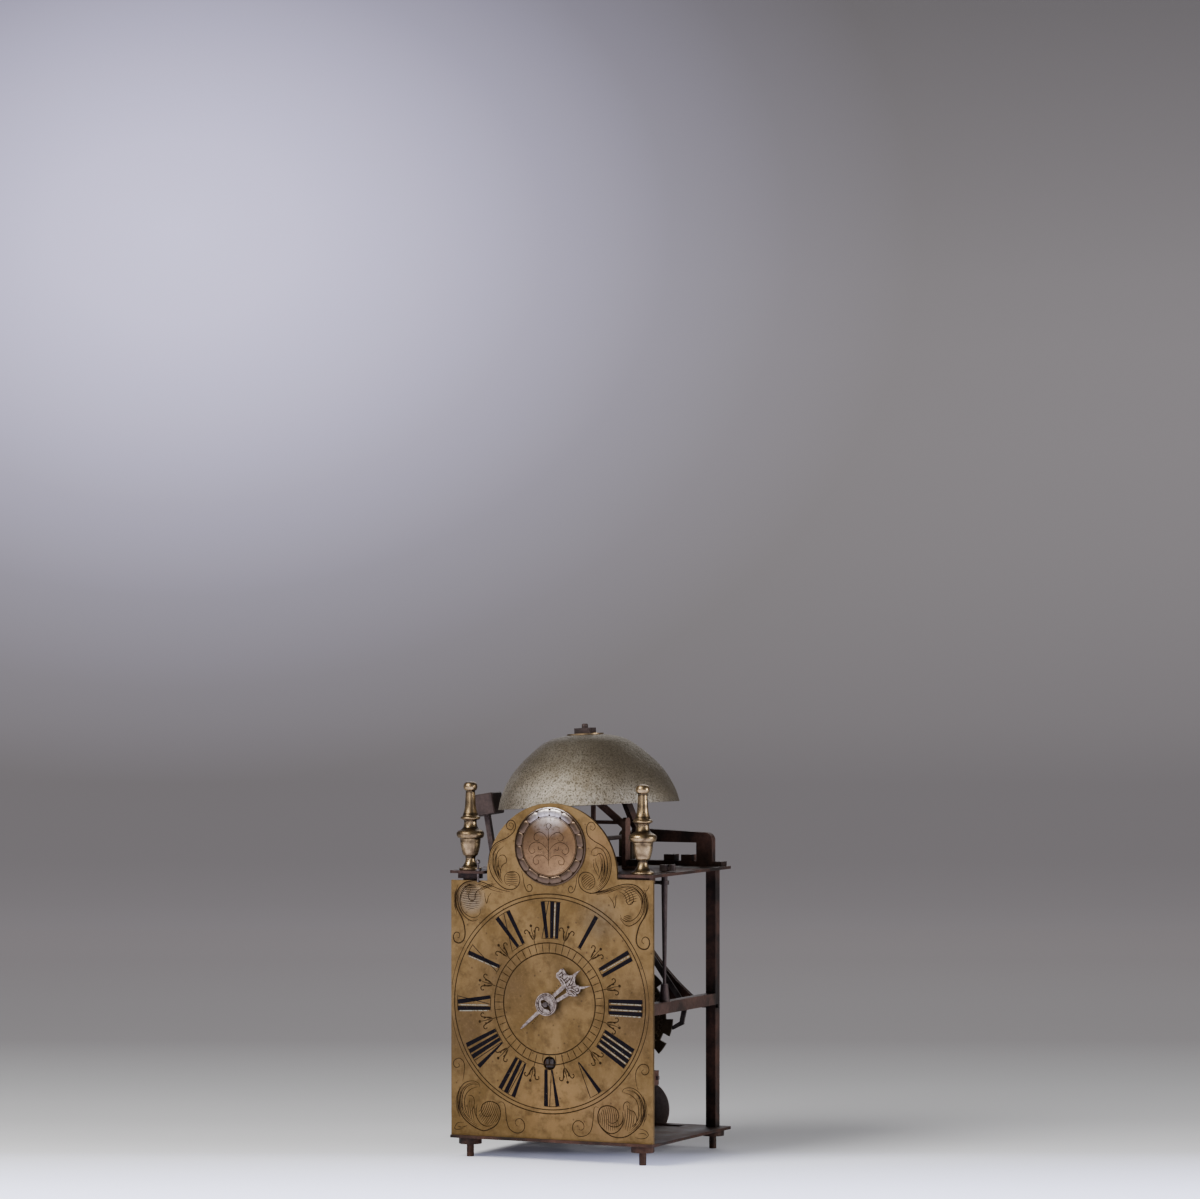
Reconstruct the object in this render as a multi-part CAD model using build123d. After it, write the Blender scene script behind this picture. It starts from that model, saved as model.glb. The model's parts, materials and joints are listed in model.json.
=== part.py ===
from build123d import *
import os
from math import atan2, cos, degrees, hypot, radians, sin, sqrt, tan

# A small iron posted-frame lantern clock with an arched brass dial, one hand, a going train with a
# verge and a rear pendulum, a striking train with a count wheel, and a bell above the top plate.
# Frame: millimetres, +X right when facing the dial, +Y to the rear, +Z up. The origin is the centre
# of the four feet, on the surface that the clock stands on.

# ---------------------------------------------------------------- frame
pillar_spacing_x = 107.0        # between the left and right pillar axes
pillar_spacing_y = 96.2         # between the front and rear pillar axes
pillar_side = 6.0               # square iron pillar
pillar_height = 147.5           # between the two plates
tenon_radius = 2.2              # round pillar tenon riveted into the top plate
foot_radius = 2.05
foot_height = 7.3               # below the foot's collar
foot_collar_radius = 6.5
foot_collar_height = 3.6
foot_spigot_radius = 1.6        # screwed up through the base plate into the pillar
foot_spigot_depth = 7.0         # length inside the pillar
plate_side_lip = 0.3            # plate edge beyond each side of the dial
plate_thickness = 1.6
plate_front_lip = 1.8           # plate edge in front of the dial face
plate_depth = 109.6
cap_radius = 7.0                # round collar under the top plate at each front pillar
cap_height = 3.0
fit = 0.05                      # running and assembly clearance on a radius
gap = 0.3                       # clearance between parts that pass each other

half_x = pillar_spacing_x / 2
half_y = pillar_spacing_y / 2
base_under = foot_height + foot_collar_height
base_top = base_under + plate_thickness
top_under = base_top + pillar_height
top_face = top_under + plate_thickness

# ---------------------------------------------------------------- dial
dial_setback = 6.1              # dial face in front of the front pillar axes
dial_width = 125.0
plate_half_width = dial_width / 2 + plate_side_lip
dial_thickness = 2.0
dial_shoulder_left = 156.1      # heights of the two hand-cut shoulders above the floor
dial_shoulder_right = 158.7
arch_radius = 40.3
arch_x = 0.3
arch_centre_height = 160.0
hand_x = -1.2
hand_height = 88.2
winding_x = -1.0
winding_height = 55.0
winding_hole_radius = 3.9
hand_hole_radius = 2.6
boss_x = -0.5
boss_height = 176.3
boss_radius = 22.0
boss_field_radius = 16.6
boss_dome = 2.6
boss_rim_thickness = 1.0
lug_length = 11.0               # dial lug behind the dial plate
lug_width = 3.0
lug_height = 8.0
lug_centre_height = 48.5
wedge_size = 2.0
latch_inset = 17.3              # pin that holds the dial's top edge to the top plate, from the dial's left side
latch_x = latch_inset - dial_width / 2
latch_radius = 0.6
latch_setback = 0.9             # latch pin axis in front of the dial's face
latch_low = 155.2
latch_high = 168.6
latch_eye_radius = 1.9

dial_face = -half_y - dial_setback


def back(station):
    """The Y place of a station measured rearwards from the dial's face."""
    return dial_face + station


# ---------------------------------------------------------------- side rails and rear cross
rail_low = 82.4
rail_high = 88.9
rail_tenon_radius = 1.6
rail_rivet = 1.1                # tenon end standing out behind the pillar
cross_station = 99.6            # front face of the rear cross bar
cross_thickness = 3.4
cross_low = 80.5
cross_high = 86.5
brace_foot_in = 26.0            # where the brace's wide foot starts and ends along the bar
brace_foot_out = 42.0
brace_meet_height = 133.0
brace_post_half = 3.6           # half width of the upright that both braces form

# ---------------------------------------------------------------- movement bars
bar_width = 16.0
bar_thickness = 2.4
front_bar_station = 16.0
middle_bar_station = 52.0
rear_bar_station = 88.0
bar_tenon_width = 6.0
bar_tenon_rise = 4.8            # tenon above the top plate, with its wedge
bar_wedge = 1.6
bar_wedge_length = 7.0
train_x = -1.0
strike_x = 1.5

# ---------------------------------------------------------------- wheelwork
wheel_addendum = 0.85           # in modules
wheel_dedendum = 1.0
wheel_root_share = 0.55         # tooth width at root and tip, as shares of the pitch
wheel_tip_share = 0.2
leaf_addendum = 0.35
leaf_dedendum = 1.15
leaf_root_share = 0.42
leaf_tip_share = 0.26
wheel_thickness = 1.6
rim_width = 3.4                 # wheel rim inside the tooth roots
spoke_width = 3.0
hub_radius = 4.2
arbor_radius = 1.4
pivot_radius = 0.8
great_module = 0.85
great_teeth = 60
great_pinion_leaves = 8
great_station = 21.0
winding_arbor_radius = 3.0
winding_square = 4.4
winding_square_station = 0.4    # front end of the winding square
pipe_wall = 1.6                 # pipe that carries the report pinion
drum_radius = 11.0
drum_station = 25.0
drum_length = 16.0
drum_flange = 1.2
drum_flange_radius = 14.0
ratchet_teeth = 24
ratchet_radius = 10.0
ratchet_depth = 1.1
ratchet_thickness = 1.8
report_module = 1.328
report_leaves = 10
hand_wheel_teeth = 40
hand_wheel_station = 6.6
report_station = 6.0
report_length = 2.8
star_points = 12
star_radius = 9.0
star_thickness = 1.2
second_offset = 5.0             # sideways offset of the second arbor from the first
second_module = 0.75
second_teeth = 54
second_pinion_leaves = 6
second_station = 45.0
contrate_teeth = 48
contrate_radius = 18.0
contrate_band = 1.5
contrate_station = 30.0
contrate_tooth_length = 2.3
contrate_engage = 1.7           # tooth length from the band to the pitch line
crown_pinion_leaves = 6
crown_pinion_height = 4.4
crown_teeth = 15
crown_radius = 10.0
crown_band = 1.2
crown_low = 166.2
crown_band_height = 3.6
crown_tooth_height = 3.8
crown_foot_rise = 12.0          # lower pivot of the crown arbor above the contrate wheel's axis
potence_thickness = 2.5
verge_height = 177.4
verge_radius = 1.3
pallet_reach = 4.2
pallet_width = 3.0
pallet_thickness = 0.7
pallet_angle = 45.0
cock_front_station = 21.0
cock_rear_station = 100.6
cock_thickness = 3.0
cock_width = 8.0
pendulum_station = 112.6
pendulum_lean = 2.0             # the pendulum stands a little off plumb, to the right
pendulum_rod_radius = 0.9
bob_radius = 17.0
bob_thickness = 5.4
bob_edge = 0.8
bob_centre_height = 19.6

# ---------------------------------------------------------------- striking
strike_height = 46.9
strike_station = 60.0
pin_count = 10
pin_circle = 22.6
pin_start = 12.0                # angle of the first hammer pin at rest
pin_radius = 1.1
pin_length = 3.0
count_height = 74.9
count_radius = 30.5
count_notch_depth = 4.4
count_notch_width = 4.6
count_thickness = 1.4
count_teeth = 48
count_pinion_leaves = 8
count_module = 1.0
count_station = 93.6
count_stud_radius = 2.4
hoop_offset = 5.0
hoop_teeth = 48
hoop_module = 0.75
hoop_pinion_leaves = 6
hoop_station = 66.0
hoop_radius = 13.5
hoop_wall = 1.4
hoop_width = 3.0
fly_pinion_leaves = 6
fly_reach = 15.5
fly_length = 14.0
fly_thickness = 0.7
fly_station = 71.0
pulley_radius = 10.0
pulley_length = 10.0
pulley_station = 70.0
pulley_flange_radius = 13.0

# ---------------------------------------------------------------- hammer
hammer_x = -46.5                # hammer arbor, along Y
hammer_z = 84.0
hammer_station = 50.0
hammer_arbor_radius = 1.6
hammer_stem = 3.0
hammer_head_x = -65.6           # centre of the head
hammer_head_z = 196.6
hammer_head_length = 16.0
hammer_head_depth = 13.0
hammer_head_height = 12.4
tail_station = 57.0
hammer_cock_front_station = 36.0
hammer_cock_rear_station = 82.0
hammer_cock_thickness = 2.4
hammer_notch_station = 50.0
hammer_notch_half = 5.6
hammer_notch_depth = 7.4
spring_station = 66.0
spring_thickness = 0.9
spring_width = 7.0

# ---------------------------------------------------------------- release work
release_x = 53.5
release_station = 35.3
release_top_radius = 1.7
release_low_radius = 0.95
release_cock_height = 9.8
release_cock_radius = 3.0
release_lever = 5.0
detent_x = 5.5
detent_z = 127.5

# ---------------------------------------------------------------- bell and its stands
bell_radius = 51.7
bell_height = 40.2
bell_wall = 2.0
bell_seat = (-2.2, -0.14, 197.0)    # centre of the bell's rim
bell_lean = (-0.063, 0.016)         # sideways and rearward lean of the bell's axis, per unit of height
spindle_radius = 1.8
spindle_collar_radius = 4.6     # the bell rests on this collar
spindle_collar_height = 2.4
spindle_low = 4.2                   # lower end of the spindle above the rim's plane
washer_radius = 10.5
washer_thickness = 0.8
nut_side = 9.6
nut_height = 3.2
spindle_end = 2.5                   # spindle above the nut
bracket_bar = 2.6                   # foot bar of the rear bell bracket
bracket_left = -9.0
bracket_right = 60.0
bracket_station = 99.4
bracket_depth = 8.0
bracket_leg_left = 44.4
bracket_leg_right = 54.2
bracket_arm_thick = 5.0
bracket_arm_low = 174.9
bracket_arm_high_right = 180.6
bracket_arm_high_left = 182.6
bracket_arm_left = 3.8
bracket_round = 4.5
strap_width = 3.5
strap_thickness = 4.6
strap_eye_height = 229.4
screw_head = 6.6
screw_head_height = 3.6
screw_radius = 1.9
screw_places = (27.0, 37.8)
stay_station = 50.3
stay_post_x = 21.7
stay_post_width = 2.3
stay_post_depth = 6.6
stay_top_height = 190.8
stay_tie_height = 187.8
stay_brace_drop = 3.2           # lower end of the slanting brace under the tie
stay_tie_thick = 2.0
stay_tie_x = 1.2
stay_brace_thick = 3.6
stay_foot_thick = 2.0
stay_eye_base = 202.0           # underside of the stay's eye, on the bell's axis

# ---------------------------------------------------------------- finials
finial_bore_depth = 6.0
finial_stud_radius = 2.2


# ================================================================ helpers
def block(x0, x1, y0, y1, z0, z1):
    """A box from its lowest and highest corners."""
    return Pos((x0 + x1) / 2, (y0 + y1) / 2, (z0 + z1) / 2) * Box(x1 - x0, y1 - y0, z1 - z0)


def rod_z(x, y, radius, z0, z1):
    """A cylinder along Z."""
    return Pos(x, y, (z0 + z1) / 2) * Cylinder(radius, z1 - z0)


def rod_y(x, z, radius, y0, y1):
    """A cylinder along Y."""
    return Pos(x, (y0 + y1) / 2, z) * Rot(90, 0, 0) * Cylinder(radius, y1 - y0)


def rod_x(y, z, radius, x0, x1):
    """A cylinder along X."""
    return Pos((x0 + x1) / 2, y, z) * Rot(0, 90, 0) * Cylinder(radius, x1 - x0)


def sheet_y(outline, y0, y1):
    """A face drawn in X and Z, made solid from y0 to y1."""
    return extrude(Plane.XZ.offset(-y1) * outline, amount=y1 - y0)


def polygon(points):
    """A face with straight sides through the points."""
    return make_face(Polyline(*points, close=True))


def polar(x, z, radius, angle):
    """A point at an angle in degrees, from +X towards +Z."""
    return (x + radius * cos(radians(angle)), z + radius * sin(radians(angle)))


def toothed(x, z, count, module, first, is_leaf):
    """The outline of a wheel, or of a pinion, whose first tooth stands at an angle in degrees."""
    addendum, dedendum, root_share, tip_share = (
        (leaf_addendum, leaf_dedendum, leaf_root_share, leaf_tip_share) if is_leaf
        else (wheel_addendum, wheel_dedendum, wheel_root_share, wheel_tip_share))
    pitch_radius = count * module / 2
    root = pitch_radius - dedendum * module
    tip = pitch_radius + addendum * module
    pitch = 360 / count
    points = []
    for number in range(count):
        middle = first + number * pitch
        points.append(polar(x, z, root, middle - root_share * pitch / 2))
        points.append(polar(x, z, tip, middle - tip_share * pitch / 2))
        points.append(polar(x, z, tip, middle + tip_share * pitch / 2))
        points.append(polar(x, z, root, middle + root_share * pitch / 2))
    return polygon(points)


def spoked(x, z, rim_inner, y0, y1, hub, turn=45):
    """A wheel's openings: a disc inside the rim, less its hub and four spokes."""
    hollow = rod_y(x, z, rim_inner, y0, y1) - rod_y(x, z, hub, y0, y1)
    for quarter in (0, 90):
        spoke = Pos(x, (y0 + y1) / 2, z) * Rot(0, turn + quarter, 0) * Box(
            2 * rim_inner + 2, y1 - y0, spoke_width)
        hollow -= spoke
    return hollow


def wheel(x, z, count, module, gap_angle, y0, y1, bore, hub=hub_radius):
    """A spoked wheel with a gap between two teeth at an angle."""
    first = gap_angle + 180 / count
    outline = sheet_y(toothed(x, z, count, module, first, False), y0, y1)
    rim_inner = count * module / 2 - wheel_dedendum * module - rim_width
    return outline - spoked(x, z, rim_inner, y0, y1, hub) - rod_y(x, z, bore, y0, y1)


def pinion(x, z, count, module, leaf_angle, y0, y1, bore):
    """A pinion with a leaf at an angle."""
    return sheet_y(toothed(x, z, count, module, leaf_angle, True), y0, y1) - rod_y(x, z, bore, y0, y1)


def arbor_y(x, z, radius, y0, y1, front_pivot, rear_pivot):
    """An arbor along Y with a smaller pivot at each end."""
    shaft = rod_y(x, z, radius, y0, y1)
    if front_pivot:
        shaft += rod_y(x, z, pivot_radius, y0 - front_pivot, y0)
    if rear_pivot:
        shaft += rod_y(x, z, pivot_radius, y1, y1 + rear_pivot)
    return shaft


def direction(x0, z0, x1, z1):
    """The angle in degrees from one axis to another."""
    return degrees(atan2(z1 - z0, x1 - x0))


def corners():
    """The four pillar places, with their names."""
    for side, x in (("left", -half_x), ("right", half_x)):
        for end, y in (("front", -half_y), ("rear", half_y)):
            yield end + "_" + side, x, y


def solids(*shapes):
    """Separate solids that share one node."""
    return Compound(children=[s for shape in shapes for s in shape.solids()])


parts = {}

# ================================================================ places of the arbors
great_pitch = (great_teeth + great_pinion_leaves) * great_module / 2
second_x = train_x + second_offset
second_z = winding_height + sqrt(great_pitch ** 2 - second_offset ** 2)
second_pitch = (second_teeth + second_pinion_leaves) * second_module / 2
contrate_z = second_z + sqrt(second_pitch ** 2 - second_offset ** 2)
crown_foot_height = contrate_z + crown_foot_rise
hoop_pitch = (great_teeth + hoop_pinion_leaves) * great_module / 2
hoop_x = strike_x - hoop_offset
hoop_z = strike_height + sqrt(hoop_pitch ** 2 - hoop_offset ** 2)
fly_pitch = (hoop_teeth + fly_pinion_leaves) * hoop_module / 2
fly_z = hoop_z + sqrt(fly_pitch ** 2 - hoop_offset ** 2)
crown_pitch_radius = crown_pinion_leaves * (contrate_radius - contrate_band / 2) / contrate_teeth
crown_y = back(contrate_station + wheel_thickness + contrate_engage) + crown_pitch_radius
front_bar_back = front_bar_station + bar_thickness
middle_bar_back = middle_bar_station + bar_thickness
rear_bar_back = rear_bar_station + bar_thickness

# ================================================================ plates
plate_y0 = dial_face - plate_front_lip
plate_y1 = plate_y0 + plate_depth


def bare_plate(z0):
    plate = block(-plate_half_width, plate_half_width, plate_y0, plate_y1, z0, z0 + plate_thickness)
    return fillet(plate.edges().filter_by(Axis.Z), 1.2)


rope_window_width = 16.0
rope_window_depth = 14.0
rear_window_half = 37.0
rear_window_station = 91.5
rear_window_depth = 8.5

base_plate = bare_plate(base_under)
for name, x, y in corners():
    base_plate -= rod_z(x, y, foot_spigot_radius + fit, base_under, base_top)
for station in (front_bar_station, middle_bar_station, rear_bar_station):
    base_plate -= block(-bar_tenon_width / 2 - fit, bar_tenon_width / 2 + fit,
                        back(station) - fit, back(station) + bar_thickness + fit, base_under, base_top)
for x in (train_x, strike_x):
    station = drum_station + drum_length / 2 if x == train_x else pulley_station + pulley_length / 2
    for side in (-1, 1):
        middle = x + side * (drum_radius + 1.0)
        base_plate -= block(middle - rope_window_width / 2, middle + rope_window_width / 2,
                            back(station) - rope_window_depth / 2, back(station) + rope_window_depth / 2,
                            base_under, base_top)
base_plate -= block(-rear_window_half, rear_window_half, back(rear_window_station),
                    back(rear_window_station + rear_window_depth), base_under, base_top)
parts["base_plate"] = base_plate

arch_notch_half = arch_radius + gap
top_plate = bare_plate(top_under)
for name, x, y in corners():
    top_plate -= rod_z(x, y, tenon_radius + fit, top_under, top_face)
for station in (front_bar_station, middle_bar_station, rear_bar_station):
    top_plate -= block(-bar_tenon_width / 2 - fit, bar_tenon_width / 2 + fit,
                       back(station) - fit, back(station) + bar_thickness + fit, top_under, top_face)
top_plate -= block(arch_x - arch_notch_half - 1.0, arch_x + arch_notch_half + 1.0,
                   plate_y0 - 1, dial_face + dial_thickness + gap, top_under, top_face)
top_plate -= block(-plate_half_width - 1, -plate_half_width + hammer_notch_depth,
                   back(hammer_notch_station - hammer_notch_half),
                   back(hammer_notch_station + hammer_notch_half), top_under, top_face)
top_plate -= rod_z(train_x, crown_y, arbor_radius + fit, top_under, top_face)
top_plate -= rod_z(release_x, back(release_station), release_top_radius + fit, top_under, top_face)
top_plate -= rod_z(latch_x, dial_face - latch_setback, latch_radius + fit, top_under, top_face)

# ================================================================ pillars, feet and rails
foot_top = base_top + foot_spigot_depth
pillars = {"front": [], "rear": []}
for name, x, y in corners():
    pillar = block(x - pillar_side / 2, x + pillar_side / 2, y - pillar_side / 2, y + pillar_side / 2,
                   base_top, top_under)
    pillar += rod_z(x, y, tenon_radius, top_under, top_face)
    pillar -= rod_z(x, y, foot_spigot_radius + fit, base_top, foot_top + fit)
    if name.startswith("front"):
        cap = rod_z(x, y, cap_radius, top_under - cap_height, top_under)
        cap -= block(x - 9, x + 9, y - 9, dial_face + dial_thickness + gap, top_under - 4, top_under)
        pillar += cap
        pillar += rod_z(x, y, finial_stud_radius, top_face, top_face + finial_bore_depth - gap)
    pillar -= rod_y(x, (rail_low + rail_high) / 2, rail_tenon_radius + fit,
                    y - pillar_side / 2, y + pillar_side / 2)
    if name.startswith("rear"):
        pillar -= block(x - pillar_side / 2, x + pillar_side / 2, back(cross_station) - fit,
                        back(cross_station) + cross_thickness + fit, cross_low - fit,
                        cross_low + 2.0 + fit)
    pillars[name.split("_")[0]].append(pillar)
for end in pillars:
    parts[end + "_pillars"] = solids(*pillars[end])

feet = []
for name, x, y in corners():
    foot = rod_z(x, y, foot_radius, 0, foot_height)
    foot += rod_z(x, y, foot_collar_radius, foot_height, base_under)
    foot += rod_z(x, y, foot_spigot_radius, base_under, foot_top)
    feet.append(foot)
parts["feet"] = solids(*feet)

rail_middle = (rail_low + rail_high) / 2
rails = []
for x in (-half_x, half_x):
    rail = block(x - pillar_side / 2, x + pillar_side / 2, -half_y + pillar_side / 2,
                 half_y - pillar_side / 2, rail_low, rail_high)
    rail += rod_y(x, rail_middle, rail_tenon_radius, -half_y - pillar_side / 2, -half_y + pillar_side / 2)
    rail += rod_y(x, rail_middle, rail_tenon_radius, half_y - pillar_side / 2,
                  half_y + pillar_side / 2 + rail_rivet)
    rails.append(rail)
parts["side_rails"] = solids(*rails)

# The rear cross bar is let into the rear pillars by a thin tongue at each end.
cross_y0 = back(cross_station)
cross_y1 = cross_y0 + cross_thickness
cross = block(-half_x + pillar_side / 2, half_x - pillar_side / 2, cross_y0, cross_y1, cross_low, cross_high)
cross += block(-half_x, half_x, cross_y0, cross_y1, cross_low, cross_low + 2.0)
parts["rear_cross_bar"] = cross


def rear_brace(side):
    """One curved brace from the cross bar up to the middle, and half of the upright above it."""
    outer = ThreePointArc((brace_foot_out, cross_high), (25.2, 102.0), (brace_post_half, brace_meet_height))
    foot_edge = brace_foot_in - 0.5
    inner_top = (0, brace_meet_height - 6.0)
    edges = [outer,
             Line((brace_post_half, brace_meet_height), (brace_post_half, top_under)),
             Line((brace_post_half, top_under), (0, top_under)),
             Line((0, top_under), inner_top),
             ThreePointArc(inner_top, (15.4, 107.6), (foot_edge, cross_high + 6.0)),
             Line((foot_edge, cross_high + 6.0), (foot_edge, cross_high)),
             Line((foot_edge, cross_high), (brace_foot_out, cross_high))]
    shape = sheet_y(make_face(edges), cross_y0, cross_y1)
    return shape if side == 1 else mirror(shape, about=Plane.YZ)


parts["rear_brace_right"] = rear_brace(1)
parts["rear_brace_left"] = rear_brace(-1)

# ================================================================ movement bars
wedges = []
for name, station in (("front", front_bar_station), ("middle", middle_bar_station),
                      ("rear", rear_bar_station)):
    y0 = back(station)
    y1 = y0 + bar_thickness
    bar = block(-bar_width / 2, bar_width / 2, y0, y1, base_top, top_under)
    bar += block(-bar_tenon_width / 2, bar_tenon_width / 2, y0, y1, base_under, top_face + bar_tenon_rise)
    bar -= block(-bar_wedge / 2 - 0.6, bar_wedge / 2 + 0.6, y0 - 1, y1 + 1, top_face, top_face + bar_wedge)
    parts["movement_bar_" + name] = bar
    middle = (y0 + y1) / 2
    wedge = block(-bar_wedge / 2, bar_wedge / 2, middle - bar_wedge_length / 2, middle + bar_wedge_length / 2,
                  top_face, top_face + bar_wedge)
    wedges.append(wedge)

# Pivot holes in the bars: (bar, x, z, radius).
pipe_radius = winding_arbor_radius + fit + pipe_wall
pivot_holes = (
    ("front", train_x, winding_height, pipe_radius + fit),
    ("front", hand_x, hand_height, arbor_radius + fit),
    ("front", second_x, second_z, pivot_radius + fit),
    ("front", train_x, contrate_z, pivot_radius + fit),
    ("middle", train_x, winding_height, pivot_radius + fit),
    ("middle", second_x, second_z, pivot_radius + fit),
    ("middle", train_x, contrate_z, pivot_radius + fit),
    ("middle", strike_x, strike_height, pivot_radius + fit),
    ("middle", hoop_x, hoop_z, pivot_radius + fit),
    ("middle", strike_x, fly_z, pivot_radius + fit),
    ("rear", strike_x, strike_height, arbor_radius + fit),
    ("rear", hoop_x, hoop_z, pivot_radius + fit),
    ("rear", strike_x, fly_z, pivot_radius + fit),
)
for name, x, z, radius in pivot_holes:
    station = {"front": front_bar_station, "middle": middle_bar_station, "rear": rear_bar_station}[name]
    parts["movement_bar_" + name] -= rod_y(x, z, radius, back(station) - 1, back(station + bar_thickness) + 1)
parts["movement_bar_rear"] -= rod_y(strike_x, count_height, 1.6 + fit, back(rear_bar_station) - 1,
                                    back(rear_bar_back) + 1)

# ================================================================ dial
dial_y0 = dial_face
dial_y1 = dial_face + dial_thickness
dial_half = dial_width / 2


def arch_side(height):
    """Half the arch's width at a height."""
    return sqrt(arch_radius ** 2 - (height - arch_centre_height) ** 2)


left_foot = arch_x - arch_side(dial_shoulder_left)
right_foot = arch_x + arch_side(dial_shoulder_right)
dial_outline = [
    Line((-dial_half, base_top), (dial_half, base_top)),
    Line((dial_half, base_top), (dial_half, dial_shoulder_right)),
    Line((dial_half, dial_shoulder_right), (right_foot, dial_shoulder_right)),
    ThreePointArc((right_foot, dial_shoulder_right), (arch_x, arch_centre_height + arch_radius),
                  (left_foot, dial_shoulder_left)),
    Line((left_foot, dial_shoulder_left), (-dial_half, dial_shoulder_left)),
    Line((-dial_half, dial_shoulder_left), (-dial_half, base_top)),
]
dial = sheet_y(make_face(dial_outline), dial_y0, dial_y1)
dial -= rod_y(winding_x, winding_height, winding_hole_radius, dial_y0, dial_y1)
dial -= rod_y(hand_x, hand_height, hand_hole_radius, dial_y0, dial_y1)
dial -= rod_y(boss_x, boss_height, 1.2 + fit, dial_y0, dial_y1)
parts["dial_plate"] = dial

# The domed boss is riveted to the arch by one stud.
boss_profile = make_face([
    Line((0, 0), (boss_radius, 0)),
    Line((boss_radius, 0), (boss_radius - 0.5, boss_rim_thickness)),
    Line((boss_radius - 0.5, boss_rim_thickness), (boss_field_radius, boss_rim_thickness + 0.5)),
    Spline((boss_field_radius, boss_rim_thickness + 0.5),
           (boss_field_radius / 2, boss_rim_thickness + 0.5 + 0.75 * (boss_dome - 1.5)),
           (0, boss_dome), tangents=[(-1, 0.2), (-1, 0)]),
    Line((0, boss_dome), (0, 0))])
boss = Pos(boss_x, dial_face, boss_height) * Rot(90, 0, 0) * revolve(Plane.XZ * boss_profile, Axis.Z)
boss += rod_y(boss_x, boss_height, 1.2, dial_face, dial_y1 + 0.8)
parts["dial_boss"] = boss

lugs = []
for side in (-1, 1):
    inner = side * (half_x + pillar_side / 2 + 0.7)
    outer = side * (half_x + pillar_side / 2 + 0.7 + lug_width)
    lug = block(min(inner, outer), max(inner, outer), dial_y1, dial_y1 + lug_length,
                lug_centre_height - lug_height / 2, lug_centre_height + lug_height / 2)
    wedge_y = -half_y + pillar_side / 2
    hole = block(min(inner, outer) - 1, max(inner, outer) + 1, wedge_y, wedge_y + wedge_size,
                 lug_centre_height - wedge_size / 2, lug_centre_height + wedge_size / 2)
    lugs.append(lug - hole)
    wedge_in = side * (half_x - pillar_side / 2)
    wedge_out = side * (half_x + pillar_side / 2 + lug_width + 2.0)
    wedges.append(block(min(wedge_in, wedge_out), max(wedge_in, wedge_out), wedge_y, wedge_y + wedge_size,
                        lug_centre_height - wedge_size / 2, lug_centre_height + wedge_size / 2))
parts["dial_lugs"] = solids(*lugs)
parts["wedges"] = solids(*wedges)

latch_y = dial_face - latch_setback
latch = rod_z(latch_x, latch_y, latch_radius, latch_low, latch_high - latch_eye_radius)
latch += Pos(latch_x, latch_y, latch_high - latch_eye_radius) * Sphere(1.3)
latch += rod_z(latch_x, latch_y, 1.5, top_face, top_face + 1.0)
parts["dial_latch_pin"] = latch

# ================================================================ finials
finial_outline = [
    Line((0, 0), (6.2, 0)),
    Line((6.2, 0), (6.3, 1.2)),
    Spline((6.3, 1.2), (4.6, 2.1), (3.1, 4.4)),
    Spline((3.1, 4.4), (2.7, 6.4), (3.2, 7.9)),
    Line((3.2, 7.9), (4.3, 9.0)),
    Spline((4.3, 9.0), (5.3, 12.8), (5.9, 17.8)),
    Spline((5.9, 17.8), (7.9, 20.3), (6.0, 22.6)),
    Spline((6.0, 22.6), (4.2, 24.0), (3.6, 26.2)),
    Line((3.6, 26.2), (3.9, 28.2)),
    Line((3.9, 28.2), (5.6, 29.3)),
    Line((5.6, 29.3), (4.4, 30.6)),
    Spline((4.4, 30.6), (3.3, 34.6), (2.6, 44.6)),
    Spline((2.6, 44.6), (3.95, 47.4), (2.4, 49.4)),
    Spline((2.4, 49.4), (1.2, 49.8), (0, 49.9)),
    Line((0, 49.9), (0, 0))]
finial = revolve(Plane.XZ * make_face(finial_outline), Axis.Z)
finial -= rod_z(0, 0, finial_stud_radius + fit, 0, finial_bore_depth)
parts["finials"] = solids(*[Pos(x, -half_y, top_face) * finial for x in (-half_x, half_x)])

# ================================================================ rear bell bracket and its screws
bracket_y0 = back(bracket_station)
arm_y1 = bracket_y0 + bracket_arm_thick
bar_top = top_face + bracket_bar
arm_outline = polygon([(bracket_leg_right, bar_top), (bracket_leg_right, bracket_arm_high_right),
                       (bracket_arm_left, bracket_arm_high_left), (bracket_arm_left, bracket_arm_low),
                       (bracket_leg_left, bracket_arm_low), (bracket_leg_left, bar_top)])
arm = sheet_y(arm_outline, bracket_y0, arm_y1)
outer_corner = arm.edges().filter_by(Axis.Y).sort_by(lambda e: -(e.center().X + e.center().Z))[0]
arm = fillet(outer_corner, bracket_round)
bracket = arm + block(bracket_left, bracket_right, bracket_y0, bracket_y0 + bracket_depth, top_face, bar_top)
screw_y = bracket_y0 + bracket_depth / 2
screws = []
for x in screw_places:
    bracket -= rod_z(x, screw_y, screw_radius + fit, top_face, bar_top)
    top_plate -= rod_z(x, screw_y, screw_radius + fit, top_under, top_face)
    head = block(x - screw_head / 2, x + screw_head / 2, screw_y - screw_head / 2, screw_y + screw_head / 2,
                 bar_top, bar_top + screw_head_height)
    screws.append(head + rod_z(x, screw_y, screw_radius, top_under - 1.0, bar_top))
bracket -= block(train_x - cock_width / 2 - fit, train_x + cock_width / 2 + fit, back(cock_rear_station) - fit,
                 back(cock_rear_station) + cock_thickness + fit, top_face, bar_top)
parts["bell_bracket"] = bracket

# ================================================================ bell, spindle and nut
lean_axis = Vector(bell_lean[0], bell_lean[1], 1).normalized()
bell_plane = Plane(origin=bell_seat, z_dir=lean_axis)


def bell_curve(radius, height):
    """The bell's profile: a round crown, from its flat seat down to an upright lip."""
    places = ((0.36, 0.962), (0.503, 0.878), (0.7, 0.668), (0.85, 0.45), (0.955, 0.2), (1, 0))
    points = [(crown_flat, height)] + [(radius * a, height * b) for a, b in places]
    return Spline(*points, tangents=[(1, 0), (0.08, -1)])


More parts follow.
